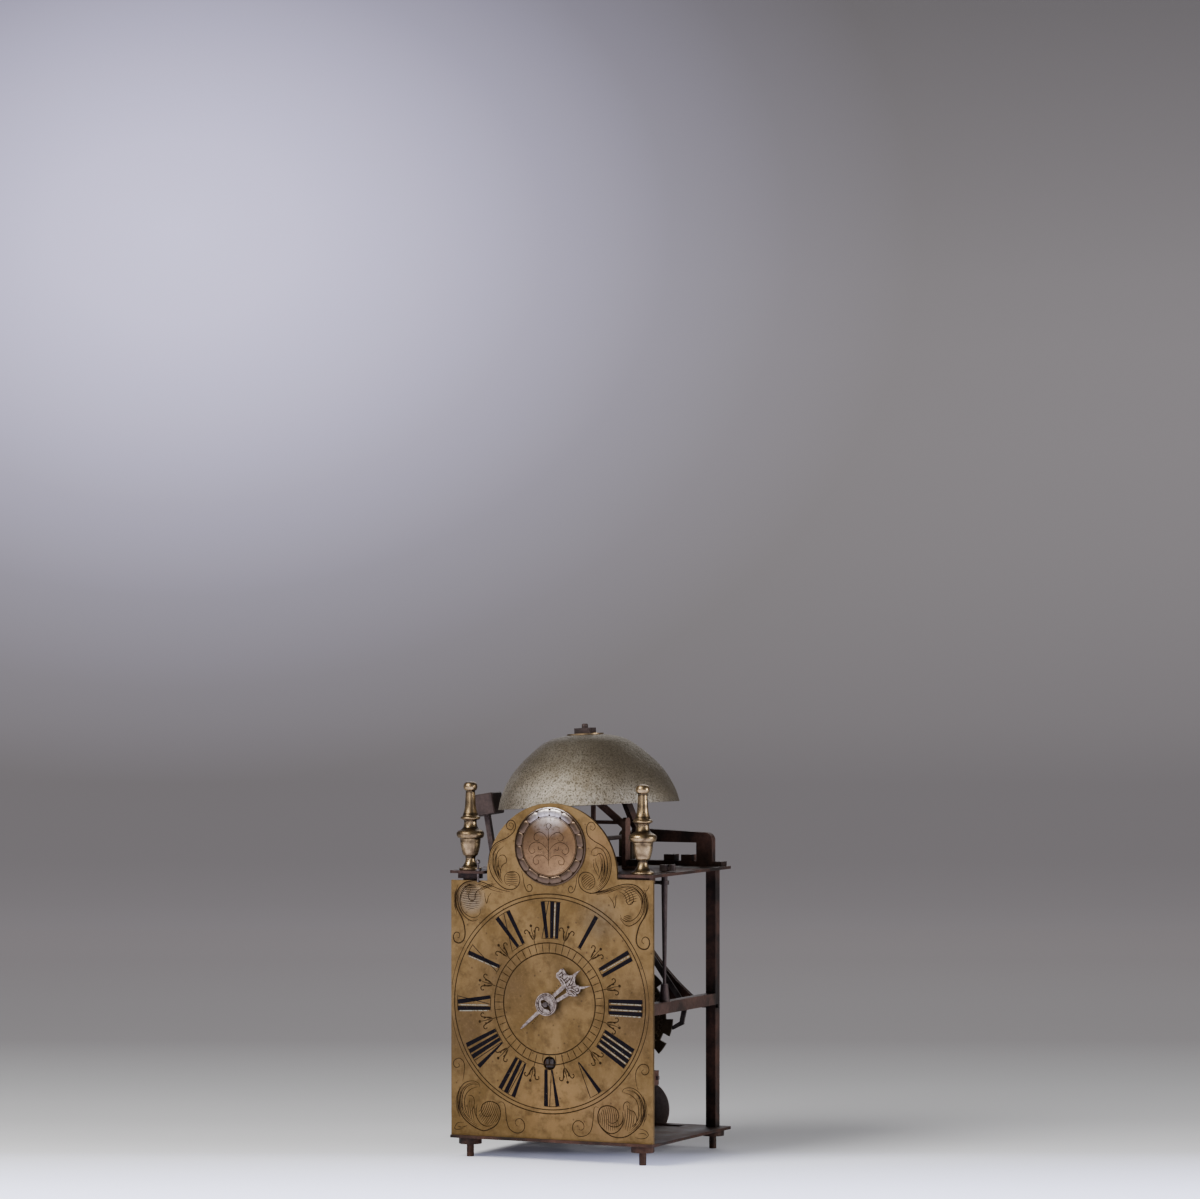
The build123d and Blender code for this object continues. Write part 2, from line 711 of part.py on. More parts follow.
crown_hole = spindle_radius + fit
crown_flat = washer_radius + 0.2
outer_curve = bell_curve(bell_radius, bell_height)
inner_curve = bell_curve(bell_radius - bell_wall, bell_height - bell_wall)
bell_inside = bell_height - bell_wall
bell_face = make_face([Line((crown_hole, bell_height), (crown_flat, bell_height)), outer_curve,
                       Line((bell_radius, 0), (bell_radius - bell_wall, 0)), inner_curve,
                       Line((crown_flat, bell_inside), (crown_hole, bell_inside)),
                       Line((crown_hole, bell_inside), (crown_hole, bell_height))])
bell = revolve(Plane.XZ * bell_face, Axis.Z)
parts["bell"] = bell_plane * bell

nut_low = bell_height + washer_thickness
spindle_top = nut_low + nut_height + spindle_end
spindle = Pos(0, 0, (spindle_low + spindle_top) / 2) * Cylinder(spindle_radius, spindle_top - spindle_low)
spindle = fillet(spindle.edges().sort_by(Axis.Z)[-1], 0.9)
spindle += Pos(0, 0, bell_height - bell_wall - spindle_collar_height / 2) * Cylinder(
    spindle_collar_radius, spindle_collar_height)
parts["bell_spindle"] = bell_plane * spindle
washer = Pos(0, 0, bell_height + washer_thickness / 2) * Cylinder(washer_radius, washer_thickness)
washer -= Cylinder(spindle_radius, 4 * bell_height)
parts["bell_washer"] = bell_plane * washer
nut = Pos(0, 0, nut_low + nut_height / 2) * Box(nut_side, nut_side, nut_height)
nut -= Cylinder(spindle_radius, 4 * bell_height)
parts["bell_nut"] = bell_plane * Rot(0, 0, 4) * nut


def spindle_at(height):
    """The spindle's place at a height above the floor."""
    rise = height - bell_seat[2]
    return bell_seat[0] + bell_lean[0] * rise, bell_seat[1] + bell_lean[1] * rise


# The bell strap rises from the bracket's arm, inside the bell, to an eye round the spindle.
eye_x, eye_y = spindle_at(strap_eye_height)
strap_start_x = bracket_arm_left + strap_width / 2 + 0.4
strap_y = bracket_y0 + 2.4
run = hypot(eye_x - strap_start_x, eye_y - strap_y)
strap_plane = Plane(origin=(strap_start_x, strap_y, 0),
                    x_dir=Vector(eye_x - strap_start_x, eye_y - strap_y, 0).normalized(),
                    z_dir=Vector(-(eye_y - strap_y), eye_x - strap_start_x, 0).normalized() * -1)
strap_line = ((0.0, bracket_arm_high_left - 0.3), (4.0, 188.2), (10.5, 198.4), (20.0, 213.4), (33.0, 226.6),
              (run - 3.0, strap_eye_height + 1.6))
strap_half = strap_thickness / 2
strap_upper, strap_lower = [], []
for number, (along, height) in enumerate(strap_line):
    before = strap_line[max(number - 1, 0)]
    after = strap_line[min(number + 1, len(strap_line) - 1)]
    length = hypot(after[0] - before[0], after[1] - before[1])
    across = (-(after[1] - before[1]) / length, (after[0] - before[0]) / length)
    share = strap_half if number < len(strap_line) - 1 else 1.6
    strap_upper.append((along + share * across[0], height + share * across[1]))
    strap_lower.append((along - share * across[0], height - share * across[1]))
strap_face = make_face([Spline(*strap_upper), Line(strap_upper[-1], strap_lower[-1]), Spline(*strap_lower[::-1]),
                        Line(strap_lower[0], strap_upper[0])])
strap = extrude(strap_plane * strap_face, amount=strap_width / 2, both=True)
strap -= block(-plate_half_width, plate_half_width, bracket_y0 - 20, arm_y1 + 20, top_under,
               bracket_arm_high_left + 0.02)
strap_low = strap_eye_height - bell_seat[2]
strap -= bell_plane * (Pos(0, 0, strap_low + 1.6) * Cylinder(4.0, 14))
eye = bell_plane * (Pos(0, 0, strap_low + 1.6) * (Cylinder(5.2, 3.2) - Cylinder(spindle_radius + fit, 8)))
strap += eye
# A tongue under the strap is riveted down into the bracket's arm.
strap_stud = rod_z(strap_start_x, strap_y, 1.3, bracket_arm_high_left - 6.0, bracket_arm_high_left + 2.0)
strap += strap_stud
parts["bell_bracket"] -= rod_z(strap_start_x, strap_y, 1.3 + fit, bracket_arm_high_left - 6.2,
                               bracket_arm_high_left + 3.0)
parts["bell_bracket"] -= block(bracket_arm_left - 1, strap_start_x + strap_width, bracket_y0 - 1, arm_y1 + 1,
                               bracket_arm_high_left, bracket_arm_high_left + 2)
parts["bell_strap"] = strap

# ================================================================ front bell stay
stay_y0 = back(stay_station) - stay_post_depth / 2
stay_y1 = back(stay_station) + stay_post_depth / 2
post_x0 = stay_post_x
post_x1 = stay_post_x + stay_post_width
post = block(post_x0, post_x1, stay_y0, stay_y1, top_face, stay_top_height)
post = fillet(post.edges().filter_by(Axis.X).sort_by(Axis.Z)[-2:], 2.6)
flange_end = post_x1 + 8.5
stay = post + block(post_x0, flange_end, stay_y0, stay_y1, top_face, top_face + stay_foot_thick)
truss_y1 = stay_y1 + 0.4
truss_y0 = truss_y1 - 2.4
stay += block(stay_tie_x - 1.0, post_x1 - 0.3, truss_y0, truss_y1, stay_tie_height - stay_tie_thick / 2,
              stay_tie_height + stay_tie_thick / 2)
stay += block(stay_tie_x - 1.0, stay_tie_x + 1.0, truss_y0, truss_y1, stay_tie_height, stay_eye_base - 0.5)
stay_eye_x = spindle_at(stay_eye_base + 1.5)[0]
brace_low = (post_x0 + 1.0, stay_tie_height - stay_brace_drop)
brace_top = (stay_eye_x + 1.5, stay_eye_base + 1.2)
brace_length = hypot(brace_top[0] - brace_low[0], brace_top[1] - brace_low[1])
brace_across = (-(brace_top[1] - brace_low[1]) / brace_length * stay_brace_thick / 2,
                (brace_top[0] - brace_low[0]) / brace_length * stay_brace_thick / 2)
stay += sheet_y(polygon([(brace_low[0] + brace_across[0], brace_low[1] + brace_across[1]),
                         (brace_top[0] + brace_across[0], brace_top[1] + brace_across[1]),
                         (brace_top[0] - brace_across[0], brace_top[1] - brace_across[1]),
                         (brace_low[0] - brace_across[0], brace_low[1] - brace_across[1])]), truss_y0, truss_y1)
stay_eye_low = stay_eye_base - bell_seat[2]
stay += bell_plane * (Pos(0, 0, stay_eye_low + 1.6) * Cylinder(3.9, 3.2))
stay -= bell_plane * (Pos(0, 0, stay_eye_low) * Cylinder(spindle_radius + fit, 14))
stay_screw_x = post_x1 + 4.8
stay -= rod_z(stay_screw_x, back(stay_station), screw_radius + fit, top_face, top_face + stay_foot_thick)
top_plate -= rod_z(stay_screw_x, back(stay_station), screw_radius + fit, top_under, top_face)
stay_head = top_face + stay_foot_thick
screws.append(block(stay_screw_x - screw_head / 2 + 0.3, stay_screw_x + screw_head / 2 - 0.3,
                    back(stay_station) - screw_head / 2 + 0.3, back(stay_station) + screw_head / 2 - 0.3,
                    stay_head, stay_head + screw_head_height)
              + rod_z(stay_screw_x, back(stay_station), screw_radius, top_under - 1.0, stay_head))
parts["bell_stay"] = stay
parts["stand_screws"] = solids(*screws)

# ================================================================ cocks for the verge and the crown arbor
front_cock_y0 = back(cock_front_station)
cock = block(train_x - cock_width / 2, train_x + cock_width / 2, front_cock_y0, front_cock_y0 + cock_thickness,
             top_face, verge_height + 4.0)
cock = fillet(cock.edges().filter_by(Axis.Y).sort_by(Axis.Z)[-2:], 3.4)
cock += block(train_x - cock_width / 2, train_x + cock_width / 2, front_cock_y0, front_cock_y0 + 9.5, top_face,
              top_face + 1.8)
cock_stud_y = front_cock_y0 + 6.6
cock += rod_z(train_x, cock_stud_y, 1.2, top_under - 0.4, top_face)
top_plate -= rod_z(train_x, cock_stud_y, 1.2 + fit, top_under, top_face)
parts["verge_cock_front"] = cock - rod_y(train_x, verge_height, pivot_radius + fit, front_cock_y0,
                                         front_cock_y0 + cock_thickness)
rear_cock_y0 = back(cock_rear_station)
cock = block(train_x - cock_width / 2, train_x + cock_width / 2, rear_cock_y0, rear_cock_y0 + cock_thickness,
             top_face, verge_height + 4.0)
cock = fillet(cock.edges().filter_by(Axis.Y).sort_by(Axis.Z)[-2:], 3.4)
cock += block(train_x - 1.5, train_x + 1.5, rear_cock_y0, rear_cock_y0 + cock_thickness, top_under, top_face)
top_plate -= block(train_x - 1.5 - fit, train_x + 1.5 + fit, rear_cock_y0 - fit,
                   rear_cock_y0 + cock_thickness + fit, top_under, top_face)
parts["verge_cock_rear"] = cock - rod_y(train_x, verge_height, verge_radius + fit, rear_cock_y0,
                                        rear_cock_y0 + cock_thickness)

middle_y0 = back(middle_bar_station)
potence_top = crown_foot_height
potence_front = back(contrate_station + wheel_thickness + 0.8)
potence = block(train_x - 3.0, train_x + 3.0, potence_front, middle_y0, potence_top - potence_thickness,
                potence_top)
potence += block(train_x - 4.0, train_x + 4.0, middle_y0 - 2.0, middle_y0, potence_top - 6.5, potence_top + 3.5)
potence += rod_y(train_x, potence_top - 4.3, 1.2, middle_y0, middle_y0 + bar_thickness)
parts["movement_bar_middle"] -= rod_y(train_x, potence_top - 4.3, 1.2 + fit, middle_y0 - 1,
                                      middle_y0 + bar_thickness + 1)
potence -= rod_z(train_x, crown_y, pivot_radius + fit, potence_top - potence_thickness, potence_top)
parts["crown_potence"] = potence

# ================================================================ going train
bar_clear = 0.3
front_shaft = back(front_bar_back) + bar_clear
middle_shaft = back(middle_bar_station) - bar_clear
pivot_reach = bar_clear + bar_thickness - 0.2
great_y0 = back(great_station)
great_y1 = great_y0 + wheel_thickness
second_angle = direction(train_x, winding_height, second_x, second_z)
pipe_front = back(report_station - 0.4)
great = wheel(train_x, winding_height, great_teeth, great_module, second_angle, great_y0, great_y1,
              winding_arbor_radius + fit, hub=7.0)
great += rod_y(train_x, winding_height, pipe_radius, pipe_front, great_y0)
great += rod_y(train_x, winding_height, 6.0, great_y0 - 1.6, great_y0)
great -= rod_y(train_x, winding_height, winding_arbor_radius + fit, pipe_front - 1, great_y1 + 1)
click_post = polar(train_x, winding_height, 15.6, 135)
great += rod_y(click_post[0], click_post[1], 1.0, great_y1, great_y1 + 2.0)
parts["great_wheel"] = great

hand_angle = direction(train_x, winding_height, hand_x, hand_height)
parts["report_pinion"] = pinion(train_x, winding_height, report_leaves, report_module, hand_angle,
                                back(report_station), back(report_station + report_length), pipe_radius)

square_end = back(5.0)
winding = rod_y(train_x, winding_height, winding_arbor_radius, square_end, middle_shaft)
winding += block(train_x - winding_square / 2, train_x + winding_square / 2, back(winding_square_station),
                 square_end, winding_height - winding_square / 2, winding_height + winding_square / 2)
winding += rod_y(train_x, winding_height, pivot_radius, middle_shaft, middle_shaft + pivot_reach)
parts["winding_arbor"] = winding

ratchet_y0 = great_y1 + gap
ratchet_points = []
for number in range(ratchet_teeth):
    tooth = 135 + 360 / ratchet_teeth * number
    ratchet_points.append(polar(train_x, winding_height, ratchet_radius, tooth))
    ratchet_points.append(polar(train_x, winding_height, ratchet_radius - ratchet_depth, tooth + 1.5))
drum_y0 = back(drum_station)
drum_y1 = drum_y0 + drum_length
drum = sheet_y(polygon(ratchet_points), ratchet_y0, ratchet_y0 + ratchet_thickness)
drum += rod_y(train_x, winding_height, drum_radius - 3.0, ratchet_y0, drum_y0 + 0.1)
drum += rod_y(train_x, winding_height, drum_radius, drum_y0, drum_y1)
drum += rod_y(train_x, winding_height, drum_flange_radius, drum_y0, drum_y0 + drum_flange)
drum += rod_y(train_x, winding_height, drum_flange_radius, drum_y1 - drum_flange, drum_y1)
parts["going_drum"] = drum - rod_y(train_x, winding_height, winding_arbor_radius, ratchet_y0 - 1, drum_y1 + 1)

click_end = polar(train_x, winding_height, ratchet_radius + 0.35, 112)
click_out = polar(train_x, winding_height, ratchet_radius + 2.4, 112)
click_angle = 135
click = sheet_y(polygon([polar(click_post[0], click_post[1], 2.2, click_angle), click_out, click_end,
                         polar(click_post[0], click_post[1], 2.2, click_angle + 180)]),
                great_y1 + 0.3, great_y1 + 1.9)
click += rod_y(click_post[0], click_post[1], 2.2, great_y1 + 0.3, great_y1 + 1.9)
parts["going_click"] = click - rod_y(click_post[0], click_post[1], 1.0 + fit, great_y1, great_y1 + 3)


def shaft_between(x, z):
    """A going arbor between the front and middle bars."""
    return arbor_y(x, z, arbor_radius, front_shaft, middle_shaft, pivot_reach, pivot_reach)


second_pinion_y0 = great_y0 - 1.5
second_arbor = shaft_between(second_x, second_z)
second_arbor += pinion(second_x, second_z, great_pinion_leaves, great_module, second_angle + 180,
                       second_pinion_y0, second_pinion_y0 + 3.6, arbor_radius - 0.4)
parts["second_arbor"] = second_arbor
contrate_angle = direction(second_x, second_z, train_x, contrate_z)
second_y0 = back(second_station)
parts["second_wheel"] = wheel(second_x, second_z, second_teeth, second_module, contrate_angle, second_y0,
                              second_y0 + wheel_thickness, arbor_radius)
contrate_arbor = shaft_between(train_x, contrate_z)
contrate_arbor += pinion(train_x, contrate_z, second_pinion_leaves, second_module, contrate_angle + 180,
                         second_y0 - 0.6, second_y0 + wheel_thickness + 0.8, arbor_radius - 0.4)
parts["contrate_arbor"] = contrate_arbor

contrate_y0 = back(contrate_station)
contrate_y1 = contrate_y0 + wheel_thickness
contrate = rod_y(train_x, contrate_z, contrate_radius, contrate_y0, contrate_y1)
contrate -= spoked(train_x, contrate_z, contrate_radius - rim_width, contrate_y0, contrate_y1, hub_radius)
ring = rod_y(train_x, contrate_z, contrate_radius, contrate_y1, contrate_y1 + contrate_tooth_length)
ring -= rod_y(train_x, contrate_z, contrate_radius - contrate_band, contrate_y1,
              contrate_y1 + contrate_tooth_length)
slots = []
for number in range(contrate_teeth):
    slot = Pos(train_x, contrate_y1 + contrate_tooth_length / 2 + 0.3, contrate_z) * Rot(
        0, -90 - 360 / contrate_teeth * number, 0) * Pos(contrate_radius - contrate_band / 2, 0, 0)
    outline = Plane.YZ * polygon([(contrate_tooth_length / 2 + 0.1, 0.78), (contrate_tooth_length / 2 + 0.1, -0.78),
                                  (-contrate_tooth_length / 2, -0.5), (-contrate_tooth_length / 2, 0.5)])
    slots.append(slot * extrude(outline, amount=contrate_band, both=True))
ring = ring - slots
parts["contrate_wheel"] = (contrate + ring) - rod_y(train_x, contrate_z, arbor_radius, contrate_y0, contrate_y1)

crown_pinion_z = contrate_z + contrate_radius - contrate_band / 2
crown_module = 2 * crown_pitch_radius / crown_pinion_leaves
crown_arbor = rod_z(train_x, crown_y, arbor_radius - 0.2, crown_foot_height + gap, crown_low + 1.4)
crown_arbor += rod_z(train_x, crown_y, arbor_radius, top_under - 4.0, crown_low + 1.4)
crown_arbor += rod_z(train_x, crown_y, pivot_radius, crown_foot_height - potence_thickness + 0.2,
                     crown_foot_height + gap)
leaf_face = toothed(0, 0, crown_pinion_leaves, crown_module, -90, True)
crown_arbor += Pos(train_x, crown_y, crown_pinion_z - crown_pinion_height / 2) * extrude(
    leaf_face, amount=crown_pinion_height)
parts["crown_arbor"] = crown_arbor

crown_web = 1.2
crown = rod_z(0, 0, crown_radius, 0, crown_web)
crown_high = crown_band_height + crown_tooth_height
crown += rod_z(0, 0, crown_radius, 0, crown_high) - rod_z(0, 0, crown_radius - crown_band, 0, crown_high)
for quarter in range(4):
    crown -= Rot(0, 0, 45 + 90 * quarter) * rod_z(5.4, 0, 2.3, 0, crown_web)
notches = []
crown_pitch = 2 * 3.14159265 * crown_radius / crown_teeth
for number in range(crown_teeth):
    outline = polygon([(0.25, crown_high + 0.1), (crown_pitch - 0.35, crown_high + 0.1),
                       (0.25 + crown_pitch * 0.45, crown_band_height), (0.05, crown_band_height)])
    notch = extrude(Plane.YZ.offset(crown_radius - 2.2) * outline, amount=3.0)
    notches.append(Rot(0, 0, 360 / crown_teeth * number) * notch)
crown = crown - notches
parts["crown_wheel"] = Pos(train_x, crown_y, crown_low) * crown - rod_z(train_x, crown_y, arbor_radius,
                                                                       crown_low, crown_low + crown_web)

# ================================================================ verge and pendulum
verge = rod_y(train_x, verge_height, verge_radius, front_cock_y0 + cock_thickness + gap,
              back(pendulum_station + 2.0))
verge += rod_y(train_x, verge_height, pivot_radius, front_cock_y0 + 0.2, front_cock_y0 + cock_thickness + gap)
for side in (-1, 1):
    pallet = Pos(0, 0, -pallet_reach / 2) * Box(pallet_thickness, pallet_width, pallet_reach)
    verge += Pos(train_x, crown_y + side * (crown_radius - 0.8), verge_height) * Rot(
        0, side * pallet_angle, 0) * pallet
parts["verge"] = verge

hub_y0 = back(pendulum_station - 1.4)
hub_y1 = back(pendulum_station + 1.4)
rod_length = verge_height - bob_centre_height
pendulum_rod = Rot(0, -pendulum_lean, 0) * rod_z(0, 0, pendulum_rod_radius, -rod_length - 0.5, -2.0)
pendulum_rod = Pos(train_x, back(pendulum_station), verge_height) * pendulum_rod
pendulum_rod += rod_y(train_x, verge_height, 3.4, hub_y0, hub_y1)
parts["pendulum_rod"] = pendulum_rod - rod_y(train_x, verge_height, verge_radius, hub_y0, hub_y1)
bob_x = train_x + rod_length * tan(radians(pendulum_lean))
bob_profile = make_face([
    Line((0, -bob_thickness / 2), (0, bob_thickness / 2)),
    Spline((0, bob_thickness / 2), (bob_radius * 0.6, bob_thickness * 0.38), (bob_radius, bob_edge / 2)),
    Line((bob_radius, bob_edge / 2), (bob_radius, -bob_edge / 2)),
    Spline((bob_radius, -bob_edge / 2), (bob_radius * 0.6, -bob_thickness * 0.38), (0, -bob_thickness / 2))])
bob = Rot(90, 0, 0) * revolve(Plane.XZ * bob_profile, Axis.Z)
bob = Pos(bob_x, back(pendulum_station), bob_centre_height) * bob
parts["pendulum_bob"] = bob - parts["pendulum_rod"]

# ================================================================ hand and its work
hand_wheel_y0 = back(hand_wheel_station)
hand_gear = wheel(hand_x, hand_height, hand_wheel_teeth, report_module, hand_angle + 180, hand_wheel_y0,
                  hand_wheel_y0 + wheel_thickness, arbor_radius, hub=5.0)
star_points_list = []
for number in range(star_points):
    star_points_list.append(polar(hand_x, hand_height, star_radius, 15 + 360 / star_points * number))
    star_points_list.append(polar(hand_x, hand_height, star_radius - 3.2, 30 + 360 / star_points * number))
star_y0 = hand_wheel_y0 + wheel_thickness + 0.8
hand_gear += rod_y(hand_x, hand_height, 4.0, hand_wheel_y0, star_y0)
hand_gear += sheet_y(polygon(star_points_list), star_y0, star_y0 + star_thickness)
parts["hand_wheel"] = hand_gear - rod_y(hand_x, hand_height, arbor_radius, hand_wheel_y0 - 1, star_y0 + 3)

hand_y1 = back(-2.8)            # rear face of the hand
hand_y0 = back(-3.9)            # front face of the hand's arms
hub_front = back(-4.5)
hand_arbor = rod_y(hand_x, hand_height, arbor_radius, back(-5.6), back(front_bar_back + 2.0))
hand_arbor += rod_y(hand_x, hand_height, 2.4, back(-2.7), back(-1.0))
hand_arbor += rod_y(hand_x, hand_height, 3.0, back(front_bar_back + gap), back(front_bar_back + 2.0))
pin_y = back(-5.0)
hand_arbor -= rod_x(pin_y, hand_height, 0.45, hand_x - 4, hand_x + 4)
parts["hand_arbor"] = hand_arbor
parts["hand_pin"] = rod_x(pin_y, hand_height, 0.45, hand_x - 2.6, hand_x + 2.6)


def strip(x0, z0, x1, z1, width0, width1, y0, y1):
    """A flat tapering strip between two places."""
    length = hypot(x1 - x0, z1 - z0)
    ax, az = -(z1 - z0) / length / 2, (x1 - x0) / length / 2
    return sheet_y(polygon([(x0 + ax * width0, z0 + az * width0), (x1 + ax * width1, z1 + az * width1),
                            (x1 - ax * width1, z1 - az * width1), (x0 - ax * width0, z0 - az * width0)]), y0, y1)


hand_head = polygon([(8.6, 19.8), (7.8, 18.6), (6.3, 17.6), (6.0, 15.5), (7.6, 14.2), (8.8, 12.6), (9.6, 10.7),
                     (12.0, 9.5), (12.6, 7.2), (14.0, 5.6), (16.2, 4.9), (19.1, 5.2), (18.1, 6.2), (19.9, 6.8),
                     (20.9, 8.3), (20.7, 9.2), (23.2, 9.6), (27.1, 11.2), (23.2, 10.8), (20.5, 10.5), (19.4, 11.4),
                     (18.2, 11.5), (17.6, 13.1), (17.8, 15.2), (18.5, 17.2), (20.8, 19.7), (17.7, 18.1),
                     (15.9, 16.7), (13.8, 16.6), (12.4, 17.3), (11.7, 18.8), (10.2, 20.4)])
hand = rod_y(hand_x, hand_height, 6.4, hub_front, hand_y1)
hand -= rod_y(hand_x, hand_height, 4.9, hub_front, hub_front + 0.4)
hand += rod_y(hand_x, hand_height, 2.5, hub_front, hand_y1)
hand_centre = Pos(hand_x, 0, hand_height)
hand += hand_centre * sheet_y(hand_head, hand_y0, hand_y1)
hand += hand_centre * strip(3.6, 4.0, 11.4, 10.8, 1.9, 2.3, hand_y0, hand_y1)
hand += hand_centre * strip(4.8, 1.3, 14.2, 6.7, 1.7, 2.1, hand_y0, hand_y1)
hand += hand_centre * strip(-3.8, -3.6, -12.2, -10.8, 2.0, 1.5, hand_y0, hand_y1)
hand += hand_centre * sheet_y(polygon([(-11.7, -9.6), (-14.7, -12.2), (-16.0, -14.2), (-14.0, -13.3),
                                       (-11.0, -10.8)]), hand_y0, hand_y1)
parts["hour_hand"] = hand - rod_y(hand_x, hand_height, arbor_radius, hub_front - 1, hand_y1 + 1)

# ================================================================ striking train
middle_behind = back(middle_bar_back) + bar_clear
rear_before = back(rear_bar_station) - bar_clear
strike_y0 = back(strike_station)
strike_y1 = strike_y0 + wheel_thickness
hoop_angle = direction(strike_x, strike_height, hoop_x, hoop_z)
strike = wheel(strike_x, strike_height, great_teeth, great_module, hoop_angle, strike_y0, strike_y1, arbor_radius)
for number in range(pin_count):
    pin = polar(strike_x, strike_height, pin_circle, pin_start + 360 / pin_count * number)
    strike += rod_y(pin[0], pin[1], pin_radius, strike_y0 - pin_length, strike_y1)
parts["strike_wheel"] = strike

count_angle = direction(strike_x, strike_height, strike_x, count_height)
count_gear_y0 = back(rear_bar_back + 1.1)
count_gear_y1 = count_gear_y0 + 1.5
strike_arbor = rod_y(strike_x, strike_height, arbor_radius, middle_behind, count_gear_y1 + 0.2)
strike_arbor += rod_y(strike_x, strike_height, pivot_radius, middle_behind - pivot_reach, middle_behind)
strike_arbor += pinion(strike_x, strike_height, count_pinion_leaves, count_module, count_angle,
                       back(rear_bar_back) + 0.6, count_gear_y1 + 0.2, arbor_radius - 0.4)
parts["strike_arbor"] = strike_arbor

pulley_y0 = back(pulley_station)
pulley_y1 = pulley_y0 + pulley_length
pulley = rod_y(strike_x, strike_height, pulley_radius, pulley_y0, pulley_y1)
pulley += rod_y(strike_x, strike_height, pulley_flange_radius, pulley_y0, pulley_y0 + 1.4)
pulley += rod_y(strike_x, strike_height, pulley_flange_radius, pulley_y1 - 1.4, pulley_y1)
parts["strike_pulley"] = pulley - rod_y(strike_x, strike_height, arbor_radius + fit, pulley_y0 - 1, pulley_y1 + 1)

fly_angle = direction(hoop_x, hoop_z, strike_x, fly_z)
hoop_y0 = back(hoop_station)
hoop_y1 = hoop_y0 + wheel_thickness
hoop = wheel(hoop_x, hoop_z, hoop_teeth, hoop_module, fly_angle, hoop_y0, hoop_y1, arbor_radius)
hoop_ring = rod_y(hoop_x, hoop_z, hoop_radius, hoop_y0 - hoop_width, hoop_y0)
hoop_ring -= rod_y(hoop_x, hoop_z, hoop_radius - hoop_wall, hoop_y0 - hoop_width, hoop_y0)
hoop_ring -= Pos(hoop_x, hoop_y0 - hoop_width / 2, hoop_z) * Rot(0, -45, 0) * Pos(hoop_radius, 0, 0) * Box(
    6, hoop_width, 7)
hoop_seat = rod_y(hoop_x, hoop_z, hoop_radius, hoop_y0, hoop_y1)
hoop_seat -= rod_y(hoop_x, hoop_z, hoop_radius - hoop_wall, hoop_y0, hoop_y1)
hoop += hoop_seat + hoop_ring
hoop += arbor_y(hoop_x, hoop_z, arbor_radius, middle_behind, rear_before, pivot_reach, pivot_reach)
hoop += pinion(hoop_x, hoop_z, hoop_pinion_leaves, great_module, hoop_angle + 180, strike_y0 - 0.6,
               strike_y1 + 0.7, arbor_radius - 0.4)
parts["hoop_wheel"] = hoop

fly_y0 = back(fly_station)
fly = arbor_y(strike_x, fly_z, arbor_radius, middle_behind, rear_before, pivot_reach, pivot_reach)
fly += pinion(strike_x, fly_z, fly_pinion_leaves, hoop_module, fly_angle + 180, hoop_y0 - 0.6, hoop_y1 + 0.8,
              arbor_radius - 0.4)
fly += Pos(strike_x, fly_y0 + fly_length / 2, fly_z) * Rot(0, -25, 0) * Box(2 * fly_reach, fly_length,
                                                                          fly_thickness)
fly += rod_y(strike_x, fly_z, 2.1, fly_y0, fly_y0 + fly_length)
parts["fly"] = fly

# The count wheel: a geared disc with a notch after each hour's strokes.
count_y0 = back(count_station)
count_y1 = count_y0 + count_thickness
count = sheet_y(toothed(strike_x, count_height, count_teeth, count_module, count_angle + 180
                        + 180 / count_teeth, False), count_gear_y0, count_gear_y1)
count += rod_y(strike_x, count_height, 6.0, count_gear_y0, count_y1)
disc = rod_y(strike_x, count_height, count_radius, count_y0, count_y1)
strokes = 78
notch_angle = 2.0
notch_boxes = []
for hour in (7, 8, 9, 10, 11, 12, 1, 2, 3, 4, 5, 6):
    notch_boxes.append(Pos(strike_x, (count_y0 + count_y1) / 2, count_height) * Rot(0, -notch_angle, 0)
                       * Pos(count_radius, 0, 0)
                       * Box(2 * count_notch_depth, count_thickness + 1, count_notch_width / (2 if hour == 2 else 1)))
    notch_angle += 360 / strokes * hour
disc = disc - notch_boxes
count += disc
for quarter in range(4):
    centre = polar(strike_x, count_height, 14.0, 45 + 90 * quarter)
    count -= rod_y(centre[0], centre[1], 5.4, count_gear_y0 - 1, count_y1 + 1)
parts["count_wheel"] = count - rod_y(strike_x, count_height, count_stud_radius + fit, count_gear_y0 - 1,
                                     count_y1 + 1)
stud = rod_y(strike_x, count_height, 1.6, back(rear_bar_station) + 0.2, back(rear_bar_back))
stud += rod_y(strike_x, count_height, 4.0, back(rear_bar_back), count_gear_y0 - 0.2)
stud += rod_y(strike_x, count_height, count_stud_radius, count_gear_y0 - 0.3, count_y1 + 0.3)
stud += rod_y(strike_x, count_height, 3.6, count_y1 + 0.25, count_y1 + 1.5)
parts["count_stud"] = stud

# ================================================================ count detent
detent_front = star_y0
detent = rod_y(detent_x, detent_z, arbor_radius, detent_front, count_y1)
for name, station in (("front", front_bar_station), ("middle", middle_bar_station), ("rear", rear_bar_station)):
    parts["movement_bar_" + name] -= rod_y(detent_x, detent_z, arbor_radius + fit, back(station) - 1,
                                           back(station + bar_thickness) + 1)
for y0, y1 in ((detent_front, detent_front + star_thickness), (count_y0, count_y1)):
    detent += rod_y(detent_x, detent_z, 3.2, y0, y1)
detent += strip(detent_x, detent_z, 9.4, 100.0, 3.0, 2.4, detent_front, detent_front + star_thickness)
detent += strip(9.4, 100.4, 9.4, 87.0, 2.4, 2.0, detent_front, detent_front + star_thickness)
elbow = (39.2, 82.0)
beak = polar(strike_x, count_height, count_radius + 0.35, -12)
detent += strip(detent_x, detent_z, elbow[0], elbow[1], 3.4, 3.0, count_y0, count_y1)
detent += strip(elbow[0] + 0.9, elbow[1] + 1.6, elbow[0] - 1.6, 71.4, 3.0, 2.6, count_y0, count_y1)
